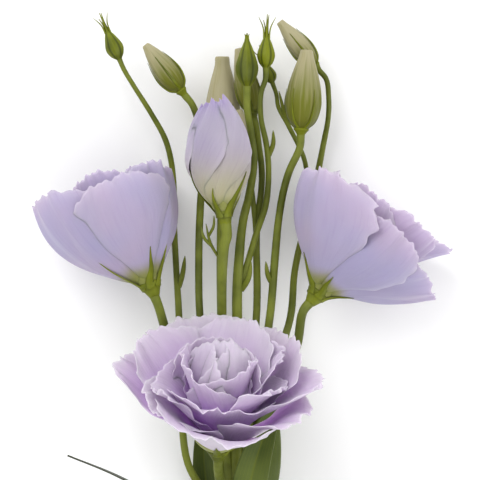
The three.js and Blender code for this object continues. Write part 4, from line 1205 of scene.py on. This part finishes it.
class LISIANTHUS_OT_stem(bpy.types.Operator):
    """Build the branched stem with its stalks and small bracts"""

    bl_idname = "lisianthus.stem"
    bl_label = "Stem"

    def execute(self, context):
        settings = context.scene.lisianthus_greens
        finish = green_finish("stem", green_look(settings, settings.stem_deep, settings.stem_fresh))
        curve = bpy.data.curves.new("stalks", "CURVE")
        curve.dimensions = "3D"
        for points in [MAIN_STEM, *self.stalks()]:
            self.draw(curve, points)
        stalks = bpy.data.objects.new("stalks", curve)
        context.scene.collection.objects.link(stalks)
        modifier = stalks.modifiers.new("Stalk skin", "NODES")
        modifier.node_group = stalk_tree()
        set_inputs(modifier, {
            "Sides": settings.stalk_sides, "Unevenness": settings.unevenness, "Lump size": LUMP_SIZE,
            "Seed": LUMP_SEED, "Finish": finish,
        })
        skin = bpy.data.meshes.new_from_object(stalks.evaluated_get(context.evaluated_depsgraph_get()))
        bpy.data.objects.remove(stalks)
        joined = bmesh.new()
        joined.from_mesh(skin)
        joined.from_mesh(mesh_of("bracts", [self.bract(*bract) for bract in BRACTS]))
        bmesh.ops.recalc_face_normals(joined, faces=joined.faces)
        joined.to_mesh(skin)
        joined.free()
        skin.shade_smooth()
        place("branched_stem", skin, finish, "stem", "stem")
        return {"FINISHED"}

    @staticmethod
    def stalks():
        """Each stalk's points, from its fork to just inside the cup that it carries."""
        seats = {bloom["name"]: (bloom, -bloom["cup"][0][0]) for bloom in BLOOMS}
        seats.update({bud["name"]: (bud, FURLED_HEEL) for bud in FURLED_BUDS})
        seats.update({bud["name"]: (bud, 0) for bud in GREEN_BUDS})
        for name, points in STALKS.items():
            flower, heel = seats[name]
            seat = Seat(flower)
            radius = points[-1][3]
            close = seat.at(0, 0, -heel - PETAL_GAP - HEEL_REACH)
            end = seat.at(0, 0, -heel + 0.3)
            yield [*points, (*close, radius), (*end, radius * 1.1)]

    @staticmethod
    def draw(curve, points):
        """Adds a stalk to the curve, with its radius eased between the given points."""
        table = np.array(points, float)
        spans = len(table) - 1
        steps = CURVE_STEPS * spans
        share = np.linspace(0, 1, steps + 1)
        i = np.minimum((share * spans).astype(int), spans - 1)
        radius = mix(table[i, 3], table[i + 1, 3], smooth(share * spans - i))
        places = (Path(table[:, :3])(share) - SPRAY_CENTRE) * MM
        spline = curve.splines.new("POLY")
        spline.points.add(steps)
        spline.points.foreach_set("co", np.column_stack([places, np.ones(steps + 1)]).ravel())
        spline.points.foreach_set("radius", radius * MM)

    @staticmethod
    def bract(root, middle, tip, half):
        def half_width(share):
            return 0.12 + half * 1.1 * (1 - share) ** 0.8 * (0.6 + share)

        return blade([root, middle, tip], UP, half_width, **BRACT_BLADE)


def leaf_spread(v):
    """Half width of a leaf as a share of its widest, along its length."""
    return np.maximum(0.04, 3.13 * (v + 0.02) ** 0.9 * (1 - v) ** 0.8)


def leaf_surface(leaf):
    """Middle surface of a leaf: its halves rise from a sunk midrib, and their edges wave."""
    path = Path(leaf["spine"])
    face = np.array(leaf["face"], float)

    def surface(u, v):
        heading = path.heading(v)
        side = unit(np.cross(heading, face))
        normal = np.cross(side, heading)
        half = leaf["wide"] / 2 * leaf_spread(v)
        waves = leaf["wave"] * np.sin(9 * v + np.where(u > 0, 2.0, 0.0)) * u * u
        groove = 0.25 * np.exp(-((u / 0.08) ** 2)) * (1 - v)
        rise = leaf["fold"] * np.sqrt(u * u + 0.01) * half + waves - groove
        return path(v) + (u * half)[..., None] * side + rise[..., None] * normal

    return surface


def leaf_thickness(settings):
    """Thickness over a leaf, in millimetres: full at the midrib and thinner at the edges."""
    full = settings.leaf_thickness / MM

    def thickness(u, v):
        return full * (1 - 0.7 * np.abs(u) ** 4)

    return thickness


class LISIANTHUS_OT_leaves(bpy.types.Operator):
    """Build the leaves"""

    bl_idname = "lisianthus.leaves"
    bl_label = "Leaves"

    def execute(self, context):
        settings = context.scene.lisianthus_greens
        finish = leaf_finish("leaf", {
            "deep": settings.leaf_deep, "fresh": settings.leaf_fresh, "waxy": settings.leaf_waxy,
            "light": settings.sepal_fresh, "dark": settings.leaf_shade,
        })
        for leaf in LEAVES:
            name = leaf["name"] + "_blade"
            body = shell(leaf_surface(leaf), LEAF_CELLS, leaf_thickness(settings), depth=leaf["dark"])
            place(name, mesh_of(name, [body]), finish, "leaf", leaf["name"])
        return {"FINISHED"}


class LISIANTHUS_OT_stage(bpy.types.Operator):
    """Set the floor, the lights and the camera"""

    bl_idname = "lisianthus.stage"
    bl_label = "Stage"

    def execute(self, context):
        settings = context.scene.lisianthus_stage
        self.floor(settings)
        self.lamps(context, settings)
        self.sky(context, settings)
        self.camera(context, settings)
        return {"FINISHED"}

    @staticmethod
    def floor(settings):
        half = settings.floor_size / 2
        corners = [(half * x, half * y, FLOOR_LEVEL) for x, y in ((-1, -1), (1, -1), (1, 1), (-1, 1))]
        mesh = bpy.data.meshes.new("floor")
        mesh.from_pydata(corners, [], [(0, 1, 2, 3)])
        f = Finish("floor", settings.floor_colour, roughness=0.8, specular=0.1)
        f.coat(f.ramp(f.noise(FLOOR_GRAIN, 3.0), 0.3, 0.7, 0.0, 0.04), FLOOR_GREY)
        mesh.materials.append(f.finished())
        floor = bpy.data.objects.new("floor", mesh)
        bpy.context.scene.collection.objects.link(floor)
        floor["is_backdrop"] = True

    @staticmethod
    def lamps(context, settings):
        for name, side, spot in LAMPS:
            light = bpy.data.lights.new(name, "AREA")
            light.energy = getattr(settings, name + "_power")
            light.size = side
            lamp = bpy.data.objects.new(name, light)
            lamp.location = spot
            facing = unit(LIT_PLACE - np.array(spot))
            lamp.rotation_mode = "QUATERNION"
            lamp.rotation_quaternion = Vector(facing).to_track_quat("-Z", "Y")
            context.scene.collection.objects.link(lamp)

    @staticmethod
    def sky(context, settings):
        world = bpy.data.worlds.new("soft room")
        world.use_nodes = True
        light = world.node_tree.nodes["Background"]
        light.inputs["Color"].default_value = (1.0, 1.0, 1.0, 1.0)
        light.inputs["Strength"].default_value = settings.sky
        context.scene.world = world
        context.scene.view_settings.view_transform = "Standard"

    @staticmethod
    def camera(context, settings):
        """Camera that looks straight down on the middle of the flowers."""
        data = bpy.data.cameras.new("camera")
        data.lens = data.sensor_width * settings.distance / settings.view_width
        data.clip_end = VIEW_END
        camera = bpy.data.objects.new("camera", data)
        camera.location = (*(-SPRAY_CENTRE[:2] * MM), settings.distance + settings.view_depth)
        context.scene.collection.objects.link(camera)
        context.scene.camera = camera


SETTINGS = {
    "lisianthus_petals": PetalSettings,
    "lisianthus_greens": GreenSettings,
    "lisianthus_stage": StageSettings,
}
BUILD_ORDER = [
    LISIANTHUS_OT_stage,
    LISIANTHUS_OT_blooms,
    LISIANTHUS_OT_calyxes,
    LISIANTHUS_OT_furled_buds,
    LISIANTHUS_OT_green_buds,
    LISIANTHUS_OT_stem,
    LISIANTHUS_OT_leaves,
]


class LISIANTHUS_PT_panel(bpy.types.Panel):
    """Panel that lists the pieces and their settings"""

    bl_idname = "LISIANTHUS_PT_panel"
    bl_label = "Lisianthus spray"
    bl_space_type = "VIEW_3D"
    bl_region_type = "UI"
    bl_category = "Lisianthus"

    def draw(self, context):
        for operator in BUILD_ORDER:
            self.layout.operator(operator.bl_idname)
        for group in SETTINGS:
            settings = getattr(context.scene, group)
            box = self.layout.box()
            for name in settings.bl_rna.properties.keys():
                if name not in ("rna_type", "name"):
                    box.prop(settings, name)


CLASSES = [*SETTINGS.values(), *BUILD_ORDER, LISIANTHUS_PT_panel]


def register():
    for cls in CLASSES:
        bpy.utils.register_class(cls)
    for name, group in SETTINGS.items():
        setattr(bpy.types.Scene, name, bpy.props.PointerProperty(type=group))


def unregister():
    for name in SETTINGS:
        delattr(bpy.types.Scene, name)
    for cls in reversed(CLASSES):
        bpy.utils.unregister_class(cls)


def write_sizes():
    """Works out the CAD box and the finished model's box as plain lists, which are not kept."""
    boxes = {"cad": CAD_BOX, "visual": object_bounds()}
    {name: [list(corner) for corner in box] for name, box in boxes.items()}


def main():
    register()
    bpy.ops.lisianthus.stage()
    bpy.ops.lisianthus.blooms()
    bpy.ops.lisianthus.calyxes()
    bpy.ops.lisianthus.furled_buds()
    bpy.ops.lisianthus.green_buds()
    bpy.ops.lisianthus.stem()
    bpy.ops.lisianthus.leaves()
    write_sizes()


if __name__ == "__main__":
    main()
